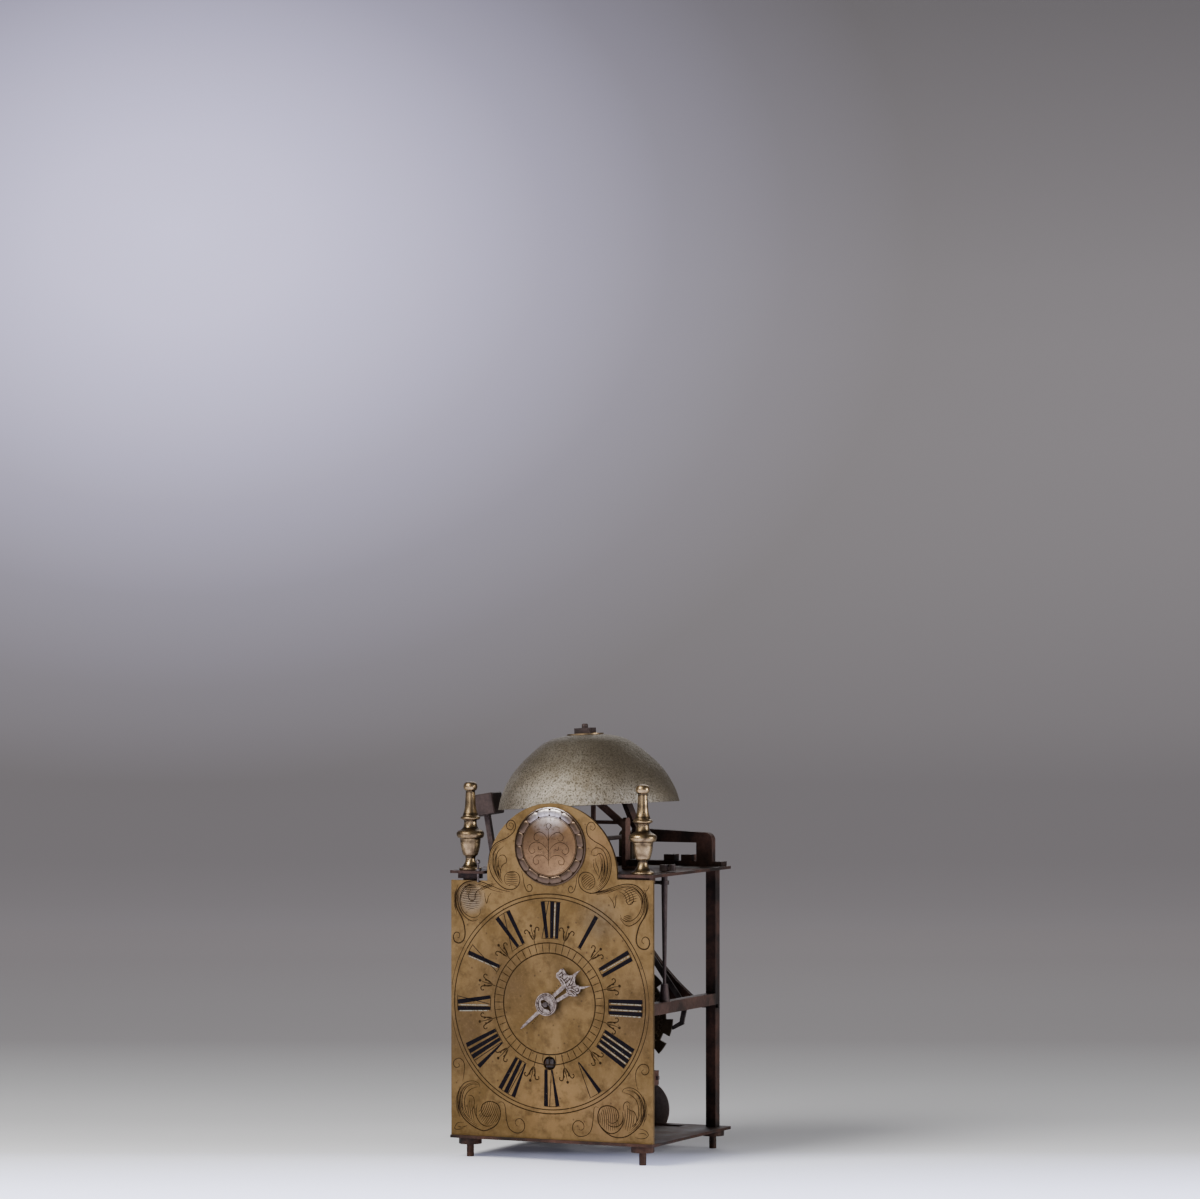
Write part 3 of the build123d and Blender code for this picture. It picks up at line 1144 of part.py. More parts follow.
detent += strip(elbow[0] - 0.6, 72.2, beak[0], beak[1], 2.6, 2.0, count_y0, count_y1)
parts["count_detent"] = detent - rod_y(strike_x, count_height, count_radius + 0.3, count_y0 - 1, count_y1 + 1)

# ================================================================ hammer
hammer_y = back(hammer_station)
hammer_shaft0 = back(hammer_cock_front_station + hammer_cock_thickness) + gap
hammer_shaft1 = back(hammer_cock_rear_station) - gap
hammer_pivot = gap + hammer_cock_thickness - 0.2
stem_angle = degrees(atan2(hammer_x - hammer_head_x, hammer_head_z - hammer_z))
stem_length = hypot(hammer_head_x - hammer_x, hammer_head_z - hammer_z)
hammer = arbor_y(hammer_x, hammer_z, hammer_arbor_radius, hammer_shaft0, hammer_shaft1, hammer_pivot, hammer_pivot)
stem_top = stem_length + hammer_head_height / 2
stem_turn = Pos(hammer_x, hammer_y, hammer_z) * Rot(0, -stem_angle, 0)
hammer += stem_turn * block(-hammer_stem / 2, hammer_stem / 2, -hammer_stem / 2, hammer_stem / 2, 0, stem_top)
hammer += rod_y(hammer_x, hammer_z, 3.0, hammer_y - 3.0, hammer_y + 3.0)
tail_y0 = back(tail_station)
tail_y1 = tail_y0 + 2.6
reach = hypot(strike_x - hammer_x, strike_height - hammer_z)
tail_length = reach - pin_circle - pin_radius - 0.4
tail_x = hammer_x + (strike_x - hammer_x) * tail_length / reach
tail_z = hammer_z + (strike_height - hammer_z) * tail_length / reach
hammer += rod_y(hammer_x, hammer_z, 3.0, tail_y0, tail_y1)
hammer += strip(hammer_x, hammer_z, tail_x, tail_z, 3.4, 2.2, tail_y0, tail_y1)
spring_y = back(spring_station)
hammer += rod_y(hammer_x, hammer_z, 2.6, spring_y - 1.5, spring_y + 1.5)
hammer += block(hammer_x - 1.0, hammer_x + 1.0, spring_y - 1.2, spring_y + 1.2, hammer_z, hammer_z + 12.0)
parts["hammer"] = hammer
head = Box(hammer_head_length, hammer_head_depth, hammer_head_height)
head = chamfer(head.edges(), 0.6)
head -= Box(hammer_stem, hammer_stem, hammer_head_height + 2)
parts["hammer_head"] = stem_turn * Pos(0, 0, stem_length) * head

cocks = []
for station in (hammer_cock_front_station, hammer_cock_rear_station):
    cock = block(-half_x + pillar_side / 2, hammer_x + 2.8, back(station), back(station) + hammer_cock_thickness,
                 hammer_z - 3.4, hammer_z + 3.4)
    cocks.append(cock - rod_y(hammer_x, hammer_z, pivot_radius + fit, back(station),
                              back(station) + hammer_cock_thickness))
release_y = back(release_station)
cone_face = make_face([Line((0, rail_high), (release_cock_radius, rail_high)),
                       Line((release_cock_radius, rail_high), (2.0, rail_high + release_cock_height)),
                       Line((2.0, rail_high + release_cock_height), (0, rail_high + release_cock_height)),
                       Line((0, rail_high + release_cock_height), (0, rail_high))])
cone = Pos(release_x, release_y, 0) * revolve(Plane.XZ * cone_face, Axis.Z)
cone -= rod_z(release_x, release_y, release_low_radius + fit, rail_high + 3.0, rail_high + release_cock_height)
cocks.append(cone)
parts["lever_cocks"] = solids(*cocks)

spring_x = -half_x + pillar_side / 2
spring_profile = polygon([(spring_x, rail_low + 0.8), (spring_x + spring_thickness, rail_low + 0.8),
                          (spring_x + spring_thickness, rail_high), (spring_x - 0.4, hammer_z + 14.0),
                          (spring_x - 0.4 - spring_thickness, hammer_z + 14.0), (spring_x, rail_high)])
parts["hammer_spring"] = sheet_y(spring_profile, spring_y - spring_width / 2, spring_y + spring_width / 2)

# ================================================================ release arbor
release_taper_low = rail_high + 12.1
release_taper_high = top_under - 10.0
release_end = top_face + 3.4
release_face = make_face([Line((0, rail_high + 3.2), (release_low_radius, rail_high + 3.2)),
                          Line((release_low_radius, rail_high + 3.2), (release_low_radius, release_taper_low)),
                          Line((release_low_radius, release_taper_low), (release_top_radius, release_taper_high)),
                          Line((release_top_radius, release_taper_high), (release_top_radius, release_end)),
                          Line((release_top_radius, release_end), (0, release_end)),
                          Line((0, release_end), (0, rail_high + 3.2))])
release = Pos(release_x, release_y, 0) * revolve(Plane.XZ * release_face, Axis.Z)
release += rod_z(release_x, release_y, 2.8, top_face + gap, top_face + 3.9)
release += block(release_x, release_x + release_lever, release_y - 1.2, release_y + 1.2, top_face + gap + 0.6,
                 top_face + 2.8)
release += rod_z(release_x + release_lever, release_y, 1.7, top_face + gap + 0.3, top_face + 4.2)
release += rod_z(release_x, release_y, 2.6, top_under - 5.6, top_under - 3.4)
release += block(release_x - 12.0, release_x, release_y - 1.2, release_y + 1.2, top_under - 5.4, top_under - 3.6)
parts["release_arbor"] = release

parts["top_plate"] = top_plate

os.makedirs("parts", exist_ok=True)
for name, shape in parts.items():
    export_step(shape, "parts/" + name + ".step")
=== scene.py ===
import json
from math import cos, hypot, pi, radians, sin

import bmesh
import bpy
from mathutils import Matrix, Vector


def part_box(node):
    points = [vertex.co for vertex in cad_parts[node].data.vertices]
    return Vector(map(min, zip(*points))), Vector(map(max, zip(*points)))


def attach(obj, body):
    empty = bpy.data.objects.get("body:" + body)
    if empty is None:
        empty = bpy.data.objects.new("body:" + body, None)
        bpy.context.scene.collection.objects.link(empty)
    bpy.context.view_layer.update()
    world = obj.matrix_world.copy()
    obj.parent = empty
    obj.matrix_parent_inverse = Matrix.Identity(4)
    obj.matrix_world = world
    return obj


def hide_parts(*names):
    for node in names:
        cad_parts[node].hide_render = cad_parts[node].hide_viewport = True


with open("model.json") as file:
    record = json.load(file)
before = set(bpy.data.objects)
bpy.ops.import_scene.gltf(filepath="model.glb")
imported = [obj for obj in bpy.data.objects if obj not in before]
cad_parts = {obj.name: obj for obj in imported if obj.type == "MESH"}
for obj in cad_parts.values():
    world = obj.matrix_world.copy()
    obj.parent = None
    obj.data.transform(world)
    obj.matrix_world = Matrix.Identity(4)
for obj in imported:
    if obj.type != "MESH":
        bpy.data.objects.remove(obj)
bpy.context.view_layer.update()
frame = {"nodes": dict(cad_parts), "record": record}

# Looks for the lantern clock. Sizes are in millimetres in the row frame (+X right, +Y to the rear, +Z up)
# and become metres in the helpers. The stage, the lights and the camera are in metres.
MM = 0.001

DIAL_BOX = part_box("dial_plate")
DIAL_FACE = DIAL_BOX[0][1] / MM         # Y of the dial's front face
DIAL_LEFT = DIAL_BOX[0][0] / MM
DIAL_RIGHT = DIAL_BOX[1][0] / MM
HAND_X, HAND_Z = -1.2, 88.2             # centre of the hour circle
BOSS_X, BOSS_Z = -0.5, 176.3
BOSS_RADIUS = 22.0
BELL_X, BELL_Y, BELL_Z = -2.2, -0.14, 197.0
BELL_HEIGHT = 40.2
FINIAL_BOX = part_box("finials")
FINIAL_FOOT = FINIAL_BOX[0][2] / MM


# -------- mesh helpers
def add_object(name, mesh, material, smooth=True):
    mesh.materials.append(material)
    for face in mesh.polygons:
        face.use_smooth = smooth
    piece = bpy.data.objects.new(name, mesh)
    bpy.context.scene.collection.objects.link(piece)
    return piece


def mesh_of(name, vertices, faces):
    """A mesh from millimetre points."""
    mesh = bpy.data.meshes.new(name)
    mesh.from_pydata([(x * MM, y * MM, z * MM) for x, y, z in vertices], [], faces)
    mesh.update()
    return mesh


def normals(line, closed=False):
    """The direction to the left of a line at each of its points."""
    last = len(line) - 1
    for i in range(len(line)):
        before = line[i - 1] if i or closed else line[0]
        after = line[(i + 1) % len(line)] if i < last or closed else line[last]
        dx, dz = after[0] - before[0], after[1] - before[1]
        length = hypot(dx, dz) or 1.0
        yield -dz / length, dx / length


class Soup:
    """Points and faces that are gathered into one mesh."""

    def __init__(self):
        self.points = []
        self.faces = []

    def prism(self, outline, y_front, y_back):
        """A flat closed plate with an outline in X and Z."""
        start = len(self.points)
        count = len(outline)
        self.points += [(x, y_front, z) for x, z in outline]
        self.points += [(x, y_back, z) for x, z in outline]
        self.faces.append([start + i for i in range(count)])
        self.faces.append([start + count + i for i in reversed(range(count))])
        for i in range(count):
            j = (i + 1) % count
            self.faces.append([start + j, start + i, start + count + i, start + count + j])

    def strip(self, line, width, corner, closed=False, tip=0.35, growth=2.6):
        """A thin strip along a line in X and Z, narrower towards open ends: tip is the share of the width
        that an end has, growth how fast it widens. corner(x, z, is_back) gives the place of a corner."""
        count = len(line)
        start = len(self.points)
        for i, ((x, z), (nx, nz)) in enumerate(zip(line, normals(line, closed))):
            share = 1.0 if closed else min(1.0, tip + growth * min(i, count - 1 - i) / (count - 1))
            half = width * share / 2
            for side, is_back in ((half, False), (-half, False), (-half, True), (half, True)):
                self.points.append(corner(x + side * nx, z + side * nz, is_back))
        for i in range(count if closed else count - 1):
            a = start + 4 * i
            b = start + 4 * ((i + 1) % count)
            self.faces += [[a + k, a + (k + 1) % 4, b + (k + 1) % 4, b + k] for k in range(4)]
        if not closed:
            end = start + 4 * (count - 1)
            self.faces += [[start + k for k in (3, 2, 1, 0)], [end + k for k in (0, 1, 2, 3)]]

    def ribbon(self, line, width, y_front, y_back, closed=False):
        """A flat strip between two depths."""
        self.strip(line, width, lambda x, z, is_back: (x, y_back if is_back else y_front, z), closed)

    def make(self, name, body, material):
        mesh = mesh_of(name, self.points, self.faces)
        work = bmesh.new()
        work.from_mesh(mesh)
        bmesh.ops.recalc_face_normals(work, faces=work.faces)
        work.to_mesh(mesh)
        work.free()
        piece = add_object(name, mesh, material, smooth=False)
        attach(piece, body)
        return piece


def smooth_line(points, steps=7):
    """A rounded line through points."""
    if len(points) < 3:
        return list(points)
    line = []
    for i in range(len(points) - 1):
        p0 = points[max(i - 1, 0)]
        p1, p2 = points[i], points[i + 1]
        p3 = points[min(i + 2, len(points) - 1)]
        for k in range(steps):
            t = k / steps
            line.append(tuple(0.5 * (2 * p1[a] + (p2[a] - p0[a]) * t
                                     + (2 * p0[a] - 5 * p1[a] + 4 * p2[a] - p3[a]) * t * t
                                     + (3 * p1[a] - p0[a] - 3 * p2[a] + p3[a]) * t ** 3) for a in (0, 1)))
    line.append(points[-1])
    return line


def circle(x, z, radius, steps):
    """Points round a full circle."""
    turns = [2 * pi * i / steps for i in range(steps)]
    return [(x + radius * cos(turn), z + radius * sin(turn)) for turn in turns]


def lathe(name, profile, segments, material, place, relief=None):
    """A turned piece: profile points are (radius, height) from the lower axis point to the upper one.
    Relief gives what is added to the height at a radius and an angle."""
    work = bmesh.new()
    rings = []
    for radius, height in profile:
        ring = []
        for i in range(segments if radius else 1):
            angle = 2 * pi * i / segments
            rise = relief(radius, angle) if relief and height > 0 else 0.0
            point = Vector((radius * cos(angle), radius * sin(angle), height + rise))
            ring.append(work.verts.new(point * MM))
        rings.append(ring)
    for low, high in zip(rings, rings[1:]):
        for i in range(segments):
            j = (i + 1) % segments
            if len(low) == 1:
                work.faces.new((low[0], high[j], high[i]))
            elif len(high) == 1:
                work.faces.new((low[i], low[j], high[0]))
            else:
                work.faces.new((low[i], low[j], high[j], high[i]))
    bmesh.ops.recalc_face_normals(work, faces=work.faces)
    work.transform(place)
    mesh = bpy.data.meshes.new(name)
    work.to_mesh(mesh)
    work.free()
    piece = add_object(name, mesh, material)
    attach(piece, "frame")
    return piece


def join(name, pieces):
    """Several objects of one body as one."""
    bpy.ops.object.select_all(action="DESELECT")
    for piece in pieces:
        piece.select_set(True)
    bpy.context.view_layer.objects.active = pieces[0]
    bpy.ops.object.join()
    pieces[0].name = name
    return pieces[0]


def place_at(x, y, z, axis=(0, 0, 1)):
    """A matrix that stands a turned piece at a millimetre place, along an axis."""
    turn = Vector((0, 0, 1)).rotation_difference(Vector(axis)).to_matrix().to_4x4()
    return Matrix.Translation(Vector((x, y, z)) * MM) @ turn


# -------- material helpers
def as_colour(value):
    """A grey level or a red, green and blue as a colour with alpha."""
    return (*value, 1.0) if isinstance(value, tuple) else (value, value, value, 1.0)


class Nodes:
    """Short names for building a node material."""

    def __init__(self, name):
        self.material = bpy.data.materials.new(name)
        self.material.use_nodes = True
        self.tree = self.material.node_tree
        self.shader = self.tree.nodes["Principled BSDF"]
        self.place = self.tree.nodes.new("ShaderNodeTexCoord").outputs["Object"]

    def feed(self, socket, value):
        """Links another node's output to a socket, or sets the socket to a number or a colour."""
        if isinstance(value, bpy.types.NodeSocket):
            self.tree.links.new(value, socket)
        else:
            socket.default_value = as_colour(value) if socket.type == "RGBA" else value

    def add(self, kind, inputs, **settings):
        node = self.tree.nodes.new("ShaderNode" + kind)
        for key, value in settings.items():
            setattr(node, key, value)
        for key, value in inputs.items():
            self.feed(node.inputs[key], value)
        return node

    def mapping(self, scale, turn=(0, 0, 0)):
        node = self.add("Mapping", {"Vector": self.place, "Scale": scale, "Rotation": turn})
        return node.outputs["Vector"]

    def noise(self, scale, detail, rough, vector=None, distortion=0.0):
        return self.add("TexNoise", {"Vector": vector or self.place, "Scale": scale, "Detail": detail,
                                     "Roughness": rough, "Distortion": distortion}).outputs["Fac"]

    def cells(self, scale):
        return self.add("TexVoronoi", {"Vector": self.place, "Scale": scale}).outputs["Distance"]

    def ramp(self, factor, stops):
        """Stops are (position, grey level or colour)."""
        node = self.add("ValToRGB", {"Fac": factor})
        elements = node.color_ramp.elements
        elements.remove(elements[-1])
        elements[0].position, elements[0].color = stops[0][0], as_colour(stops[0][1])
        for position, colour in stops[1:]:
            elements.new(position).color = as_colour(colour)
        return node.outputs["Color"]

    def mix(self, factor, a, b, blend="MIX"):
        return self.add("Mix", {0: factor, 6: a, 7: b}, data_type="RGBA", blend_type=blend).outputs[2]

    def tint(self, colour, factor, stops, other):
        """A colour that turns into another as the ramp over a factor rises."""
        return self.mix(self.ramp(factor, stops), colour, other)

    def math(self, operation, a, b, clamp=False):
        return self.add("Math", {0: a, 1: b}, operation=operation, use_clamp=clamp).outputs[0]

    def sum(self, a, share_a, b, share_b):
        return self.math("ADD", self.math("MULTIPLY", a, share_a), self.math("MULTIPLY", b, share_b))

    def axis(self, letter):
        return self.add("SeparateXYZ", {0: self.place}).outputs[letter]

    def span(self, letter, low, high):
        """How far along an axis a place lies, from 0 at low to 1 at high, in metres."""
        return self.math("DIVIDE", self.math("SUBTRACT", self.axis(letter), low), high - low, True)

    def reach(self, centre, radius):
        """Distance from a millimetre place, as a share of a radius."""
        node = self.add("VectorMath", {0: self.place, 1: [c * MM for c in centre]}, operation="DISTANCE")
        return self.math("DIVIDE", node.outputs["Value"], radius * MM, True)

    def bump(self, height, strength, distance=0.0002):
        return self.add("Bump", {"Height": height, "Strength": strength,
                                 "Distance": distance}).outputs["Normal"]

    def finish(self, colour, roughness, metallic, normal, gloss):
        for key, value in (("Base Color", colour), ("Roughness", roughness), ("Metallic", metallic),
                           ("Normal", normal), ("Specular IOR Level", gloss)):
            self.feed(self.shader.inputs[key], value)
        return self.material


# -------- materials
def iron(name, dark, rust, share=0.5, metallic=0.55):
    """Forged iron: dark scale with rusty patches, pits and hammer marks."""
    n = Nodes(name)
    patches = n.noise(55, 9, 0.62)
    fine = n.noise(420, 6, 0.7)
    pits = n.cells(700)
    colour = n.tint(dark, patches, ((share - 0.12, 0.0), (share + 0.14, 1.0)), rust)
    colour = n.tint(colour, fine, ((0.35, 0.55), (0.7, 0.0)), tuple(c * 0.45 for c in dark))
    roughness = n.ramp(patches, ((0.3, 0.42), (0.7, 0.72)))
    height = n.sum(n.noise(130, 5, 0.6), 0.8, pits, 0.35)
    return n.finish(colour, roughness, metallic, n.bump(height, 0.5, 0.00035), 0.2)


def brass(name, light, deep, dirt, scale, roughness, metallic, grooves=()):
    """Old brass: uneven tarnish, dirt in the low places and fine scratches.
    Grooves are dirty bands: height, half width and share."""
    n = Nodes(name)
    cloud = n.noise(scale, 8, 0.6, distortion=0.4)
    small = n.noise(scale * 9, 6, 0.65)
    colour = n.tint(light, cloud, ((0.34, 0.0), (0.68, 1.0)), deep)
    colour = n.tint(colour, small, ((0.56, 0.0), (0.78, 0.7)), dirt)
    if grooves:
        low, high = grooves[0][0] - 1.0, grooves[-1][0] + 1.0
        wobble = n.math("MULTIPLY", n.math("SUBTRACT", small, 0.5), 0.03)
        rise = n.math("ADD", n.span("Z", low * MM, high * MM), wobble)
        stops = []
        for height, half, share in grooves:
            for at, level in ((height - half, 0.0), (height, share), (height + half, 0.0)):
                stops.append(((at - low) / (high - low), level))
        colour = n.tint(colour, rise, stops, dirt)
    scratches = n.noise(1.0, 4, 0.7, n.mapping((300, 300, 300), (0.2, 0.5, 0.1)))
    rough = n.ramp(cloud, ((0.3, roughness[0]), (0.7, roughness[1])))
    return n.finish(colour, rough, metallic, n.bump(n.sum(scratches, 0.35, small, 0.5), 0.25), 0.25)


DARK_GOLD, GOLD = (0.104, 0.063, 0.022), (0.156, 0.098, 0.039)
# Stains on the dial: place, radius, colour and share.
STAINS = (
    ((30.0, 136.0), 15.0, (0.105, 0.08, 0.05), 0.7),
    ((-50.0, 146.0), 10.0, (0.24, 0.2, 0.15), 0.8),
    ((0.0, 32.0), 30.0, (0.215, 0.128, 0.05), 0.7),
    ((34.0, 26.0), 24.0, (0.17, 0.1, 0.048), 0.5),
    ((-30.0, 100.0), 26.0, (0.066, 0.042, 0.021), 0.6),
    ((-54.0, 70.0), 30.0, (0.056, 0.035, 0.018), 0.7),
    ((54.0, 84.0), 30.0, (0.062, 0.038, 0.018), 0.8),
    ((6.0, 112.0), 20.0, (0.08, 0.053, 0.025), 0.4),
    ((28.0, 178.0), 16.0, (0.19, 0.11, 0.052), 0.6),
)


def dial_brass():
    """The dial plate: dull golden brass with broad stains, wiped patches, pits and scratches."""
    n = Nodes("dial_brass")
    broad = n.noise(1.0, 7, 0.6, n.mapping((46, 46, 24), (0, radians(14), 0)), 0.8)
    middle = n.noise(130, 8, 0.62)
    fine = n.noise(620, 5, 0.7)
    colour = n.tint(DARK_GOLD, broad, ((0.4, 0.0), (0.6, 1.0)), GOLD)
    for (x, z), radius, stain, share in STAINS:
        spot = n.ramp(n.reach((x, DIAL_FACE, z), radius), ((0.25, share), (1.0, 0.0)))
        colour = n.mix(n.math("MULTIPLY", spot, n.ramp(middle, ((0.3, 1.0), (0.72, 0.35)))), colour, stain)
    colour = n.tint(colour, middle, ((0.48, 0.0), (0.66, 0.6)), (0.06, 0.036, 0.014))
    colour = n.tint(colour, n.cells(190), ((0.05, 0.7), (0.15, 0.0)), (0.04, 0.024, 0.012))
    colour = n.tint(colour, fine, ((0.5, 0.0), (0.82, 0.3)), (0.215, 0.145, 0.068))
    wipes = n.noise(1.0, 5, 0.65, n.mapping((60, 60, 520), (0, radians(38), 0)))
    rough = n.ramp(middle, ((0.3, 0.46), (0.72, 0.62)))
    return n.finish(colour, rough, 0.92, n.bump(n.sum(wipes, 0.5, fine, 0.35), 0.22), 0.15)


COPPERY, DULL_COPPER = (0.175, 0.102, 0.048), (0.098, 0.056, 0.028)
# Painted highlight: a silvery patch on the top of the dome stands in for the reflection of the light.
RING_GREY, PAINTED_HIGHLIGHT = (0.066, 0.046, 0.033), (0.62, 0.57, 0.57)
HIGHLIGHT_ABOVE = 19.5                     # the painted highlight lies this far above the boss's centre
HIGHLIGHT_RADIUS = 15.0


def boss_brass():
    """The boss: coppery domed field with a painted highlight at the top, and a grey ring of knobs."""
    n = Nodes("boss_brass")
    cloud = n.noise(75, 8, 0.6, distortion=0.4)
    small = n.noise(520, 6, 0.65)
    from_centre = n.reach((BOSS_X, DIAL_FACE, BOSS_Z), BOSS_RADIUS)
    colour = n.tint(COPPERY, cloud, ((0.36, 0.0), (0.66, 1.0)), DULL_COPPER)
    colour = n.tint(colour, from_centre, ((0.745, 0.0), (0.775, 0.85)), RING_GREY)
    # painted highlight: silvery colour mixed in round a place above the centre, broken up by noise
    highlight_share = n.ramp(n.reach((BOSS_X, DIAL_FACE, BOSS_Z + HIGHLIGHT_ABOVE), HIGHLIGHT_RADIUS),
                 ((0.3, 0.8), (0.62, 0.35), (1.0, 0.0)))
    colour = n.mix(n.math("MULTIPLY", highlight_share, n.ramp(small, ((0.3, 1.0), (0.62, 0.55)))), colour, PAINTED_HIGHLIGHT)
    colour = n.tint(colour, small, ((0.54, 0.0), (0.72, 0.7)), (0.04, 0.025, 0.016))
    rough = n.ramp(cloud, ((0.3, 0.24), (0.7, 0.4)))
    return n.finish(colour, rough, 0.95, n.bump(n.sum(cloud, 0.4, small, 0.5), 0.25), 0.25)


BELL_BROWN, BELL_GREY = (0.15, 0.124, 0.086), (0.29, 0.262, 0.212)
# Painted shade: the bell darkens towards its crown, standing in for the dim room that the upper metal
# reflects.
CROWN_PAINTED_SHADE = (0.074, 0.058, 0.035)
# A painted shadow darkens the bell's right side, away from the light.
BELL_PAINTED_SHADOW = ((BELL_X + 47.0, BELL_Y + 14.0, BELL_Z + 22.0), 48.0)     # place and radius


def bell_metal():
    """Grey-brown patinated bell metal: fine speckle, with painted shade on the crown and a painted shadow
    on the right side.
    """
    n = Nodes("bell_bronze")
    broad = n.noise(30, 8, 0.62, distortion=0.5)
    speck = n.noise(950, 7, 0.75)
    flecks = n.cells(520)
    rings = n.noise(1.0, 4, 0.6, n.mapping((30, 30, 620)))
    rise = n.span("Z", BELL_Z * MM, (BELL_Z + BELL_HEIGHT) * MM)
    colour = n.tint(BELL_BROWN, broad, ((0.36, 0.0), (0.64, 1.0)), BELL_GREY)
    # painted shade towards the crown
    colour = n.tint(colour, rise, ((0.3, 0.0), (0.62, 0.5), (1.0, 0.7)), CROWN_PAINTED_SHADE)
    # painted shadow on the right side
    colour = n.tint(colour, n.reach(*BELL_PAINTED_SHADOW), ((0.35, 0.85), (1.0, 0.0)), (0.07, 0.054, 0.03))
    colour = n.tint(colour, speck, ((0.5, 0.0), (0.57, 0.85)), (0.056, 0.043, 0.026))
    colour = n.tint(colour, flecks, ((0.05, 0.6), (0.24, 0.0)), (0.24, 0.21, 0.165))
    colour = n.tint(colour, rings, ((0.52, 0.0), (0.8, 0.35)), (0.07, 0.058, 0.038))
    rough = n.ramp(speck, ((0.35, 0.44), (0.7, 0.68)))
    return n.finish(colour, rough, 0.85, n.bump(n.sum(speck, 1.0, rings, 0.4), 0.7, 0.0005), 0.2)


def steel(name, light, deep, roughness=0.42, metallic=0.85, scale=150):
    """Old bright steel, greyed and lightly pitted."""
    n = Nodes(name)
    cloud = n.noise(scale, 8, 0.65)
    fine = n.noise(900, 5, 0.7)
    colour = n.tint(light, cloud, ((0.36, 0.0), (0.66, 1.0)), deep)
    rough = n.ramp(fine, ((0.3, roughness - 0.1), (0.75, roughness + 0.18)))
    return n.finish(colour, rough, metallic, n.bump(n.sum(fine, 1.0, cloud, 1.0), 0.35), 0.25)


def inlay(name, dark, glint, share):
    """Wax in cut lines, with small chips where the brass shows: the higher the share, the fewer."""
    n = Nodes(name)
    chips = n.noise(900, 5, 0.75)
    colour = n.tint(dark, chips, ((share, 0.0), (share + 0.07, 1.0)), glint)
    rough = n.ramp(chips, ((0.3, 0.75), (0.8, 0.5)))
    return n.finish(colour, rough, 0.0, n.bump(chips, 0.4), 0.02)


# Dirty grooves of the finials.
GROOVES = [(FINIAL_FOOT + height, half, share) for height, half, share in (
    (2.6, 1.6, 0.8), (7.2, 1.4, 0.95), (16.4, 2.0, 0.6), (20.6, 1.2, 0.35), (23.8, 1.8, 0.9),
    (27.6, 1.0, 0.9), (31.6, 1.2, 0.95), (38.0, 3.0, 0.5), (44.4, 1.2, 0.95))]
MATERIALS = {
    "frame_iron": iron("frame_iron", (0.016, 0.011, 0.009), (0.085, 0.04, 0.027)),
    "rust_iron": iron("rust_iron", (0.04, 0.024, 0.018), (0.15, 0.08, 0.058), 0.42),
    "dial_brass": dial_brass(),
    "boss_brass": boss_brass(),
    "bright_brass": brass("bright_brass", (0.3, 0.21, 0.108), (0.07, 0.046, 0.026),
                          (0.012, 0.008, 0.005), 190, (0.22, 0.46), 0.95, GROOVES),
    "wheel_brass": brass("wheel_brass", (0.062, 0.043, 0.022), (0.026, 0.018, 0.011),
                         (0.01, 0.007, 0.005), 90, (0.4, 0.6), 0.7),
    "bell_bronze": bell_metal(),
    "steel": steel("steel", (0.105, 0.088, 0.08), (0.038, 0.029, 0.025)),
    "hand_steel": steel("hand_steel", (0.285, 0.235, 0.2), (0.04, 0.027, 0.023), 0.42, 0.9, 640),
    "bob_lead": iron("bob_lead", (0.115, 0.09, 0.08), (0.15, 0.105, 0.085), 0.55, 0.25),
}
RAIL = iron("rail_rust", (0.026, 0.016, 0.012), (0.1, 0.054, 0.04), 0.46)
# Dark steel for the winding square, darkened further as painted shade inside the winding hole.
SQUARE_HOLE_SHADE = steel("square_hole_shade", (0.05, 0.042, 0.038), (0.014, 0.011, 0.01))
FORGED = iron("forged_grey", (0.018, 0.013, 0.012), (0.068, 0.046, 0.04), 0.47)
LINE = inlay("engraved_line", (0.016, 0.009, 0.004), (0.085, 0.052, 0.022), 0.6)
WAX = inlay("numeral_wax", (0.005, 0.004, 0.005), (0.15, 0.11, 0.065), 0.64)
# Painted highlight: a pale grey inlay for the strips between the numerals' strokes, standing in for the
# shine on their wax.
EDGE = inlay("numeral_glint", (0.19, 0.178, 0.14), (0.08, 0.055, 0.027), 0.5)

# -------- finish of the carried-over solids
# Width of the softened edges of each node.
SOFT_EDGES = {
    0.12: ("dial_plate", "bell_washer"),
    0.2: ("wedges", "lever_cocks", "release_arbor"),
    0.25: ("base_plate", "top_plate", "feet", "movement_bar_front", "movement_bar_middle",
           "movement_bar_rear", "verge_cock_front", "verge_cock_rear"),
    0.3: ("rear_cross_bar", "rear_brace_right", "rear_brace_left", "dial_lugs", "bell_stay", "bell_strap",
          "hammer"),
    0.35: ("front_pillars", "rear_pillars", "side_rails", "stand_screws", "bell_nut"),
    0.4: ("bell_bracket",),
    0.5: ("hammer_head",),
}
# Nodes that look different from the rest of their material slot.
FINISH_OF = {"side_rails": RAIL, "winding_arbor": SQUARE_HOLE_SHADE}
for node in ("hammer", "hammer_head", "wedges", "lever_cocks", "release_arbor", "verge", "bell_nut",
             "bell_spindle"):
    FINISH_OF[node] = FORGED


def soften(node, width, segments=2, least_angle=40):
    """Rounds a solid's sharp edges by a millimetre width."""
    bevel = frame["nodes"][node].modifiers.new("soft_edges", "BEVEL")
    bevel.width = width * MM
    bevel.segments = segments
    bevel.limit_method = "ANGLE"
    bevel.angle_limit = radians(least_angle)


slot_of = {entry["node"]: entry["material_slot"] for entry in frame["record"]["subparts"]}
for node, piece in frame["nodes"].items():
    piece.data.materials.clear()
    piece.data.materials.append(FINISH_OF.get(node, MATERIALS[slot_of[node]]))
for width, nodes in SOFT_EDGES.items():
    for node in nodes:
        soften(node, width)

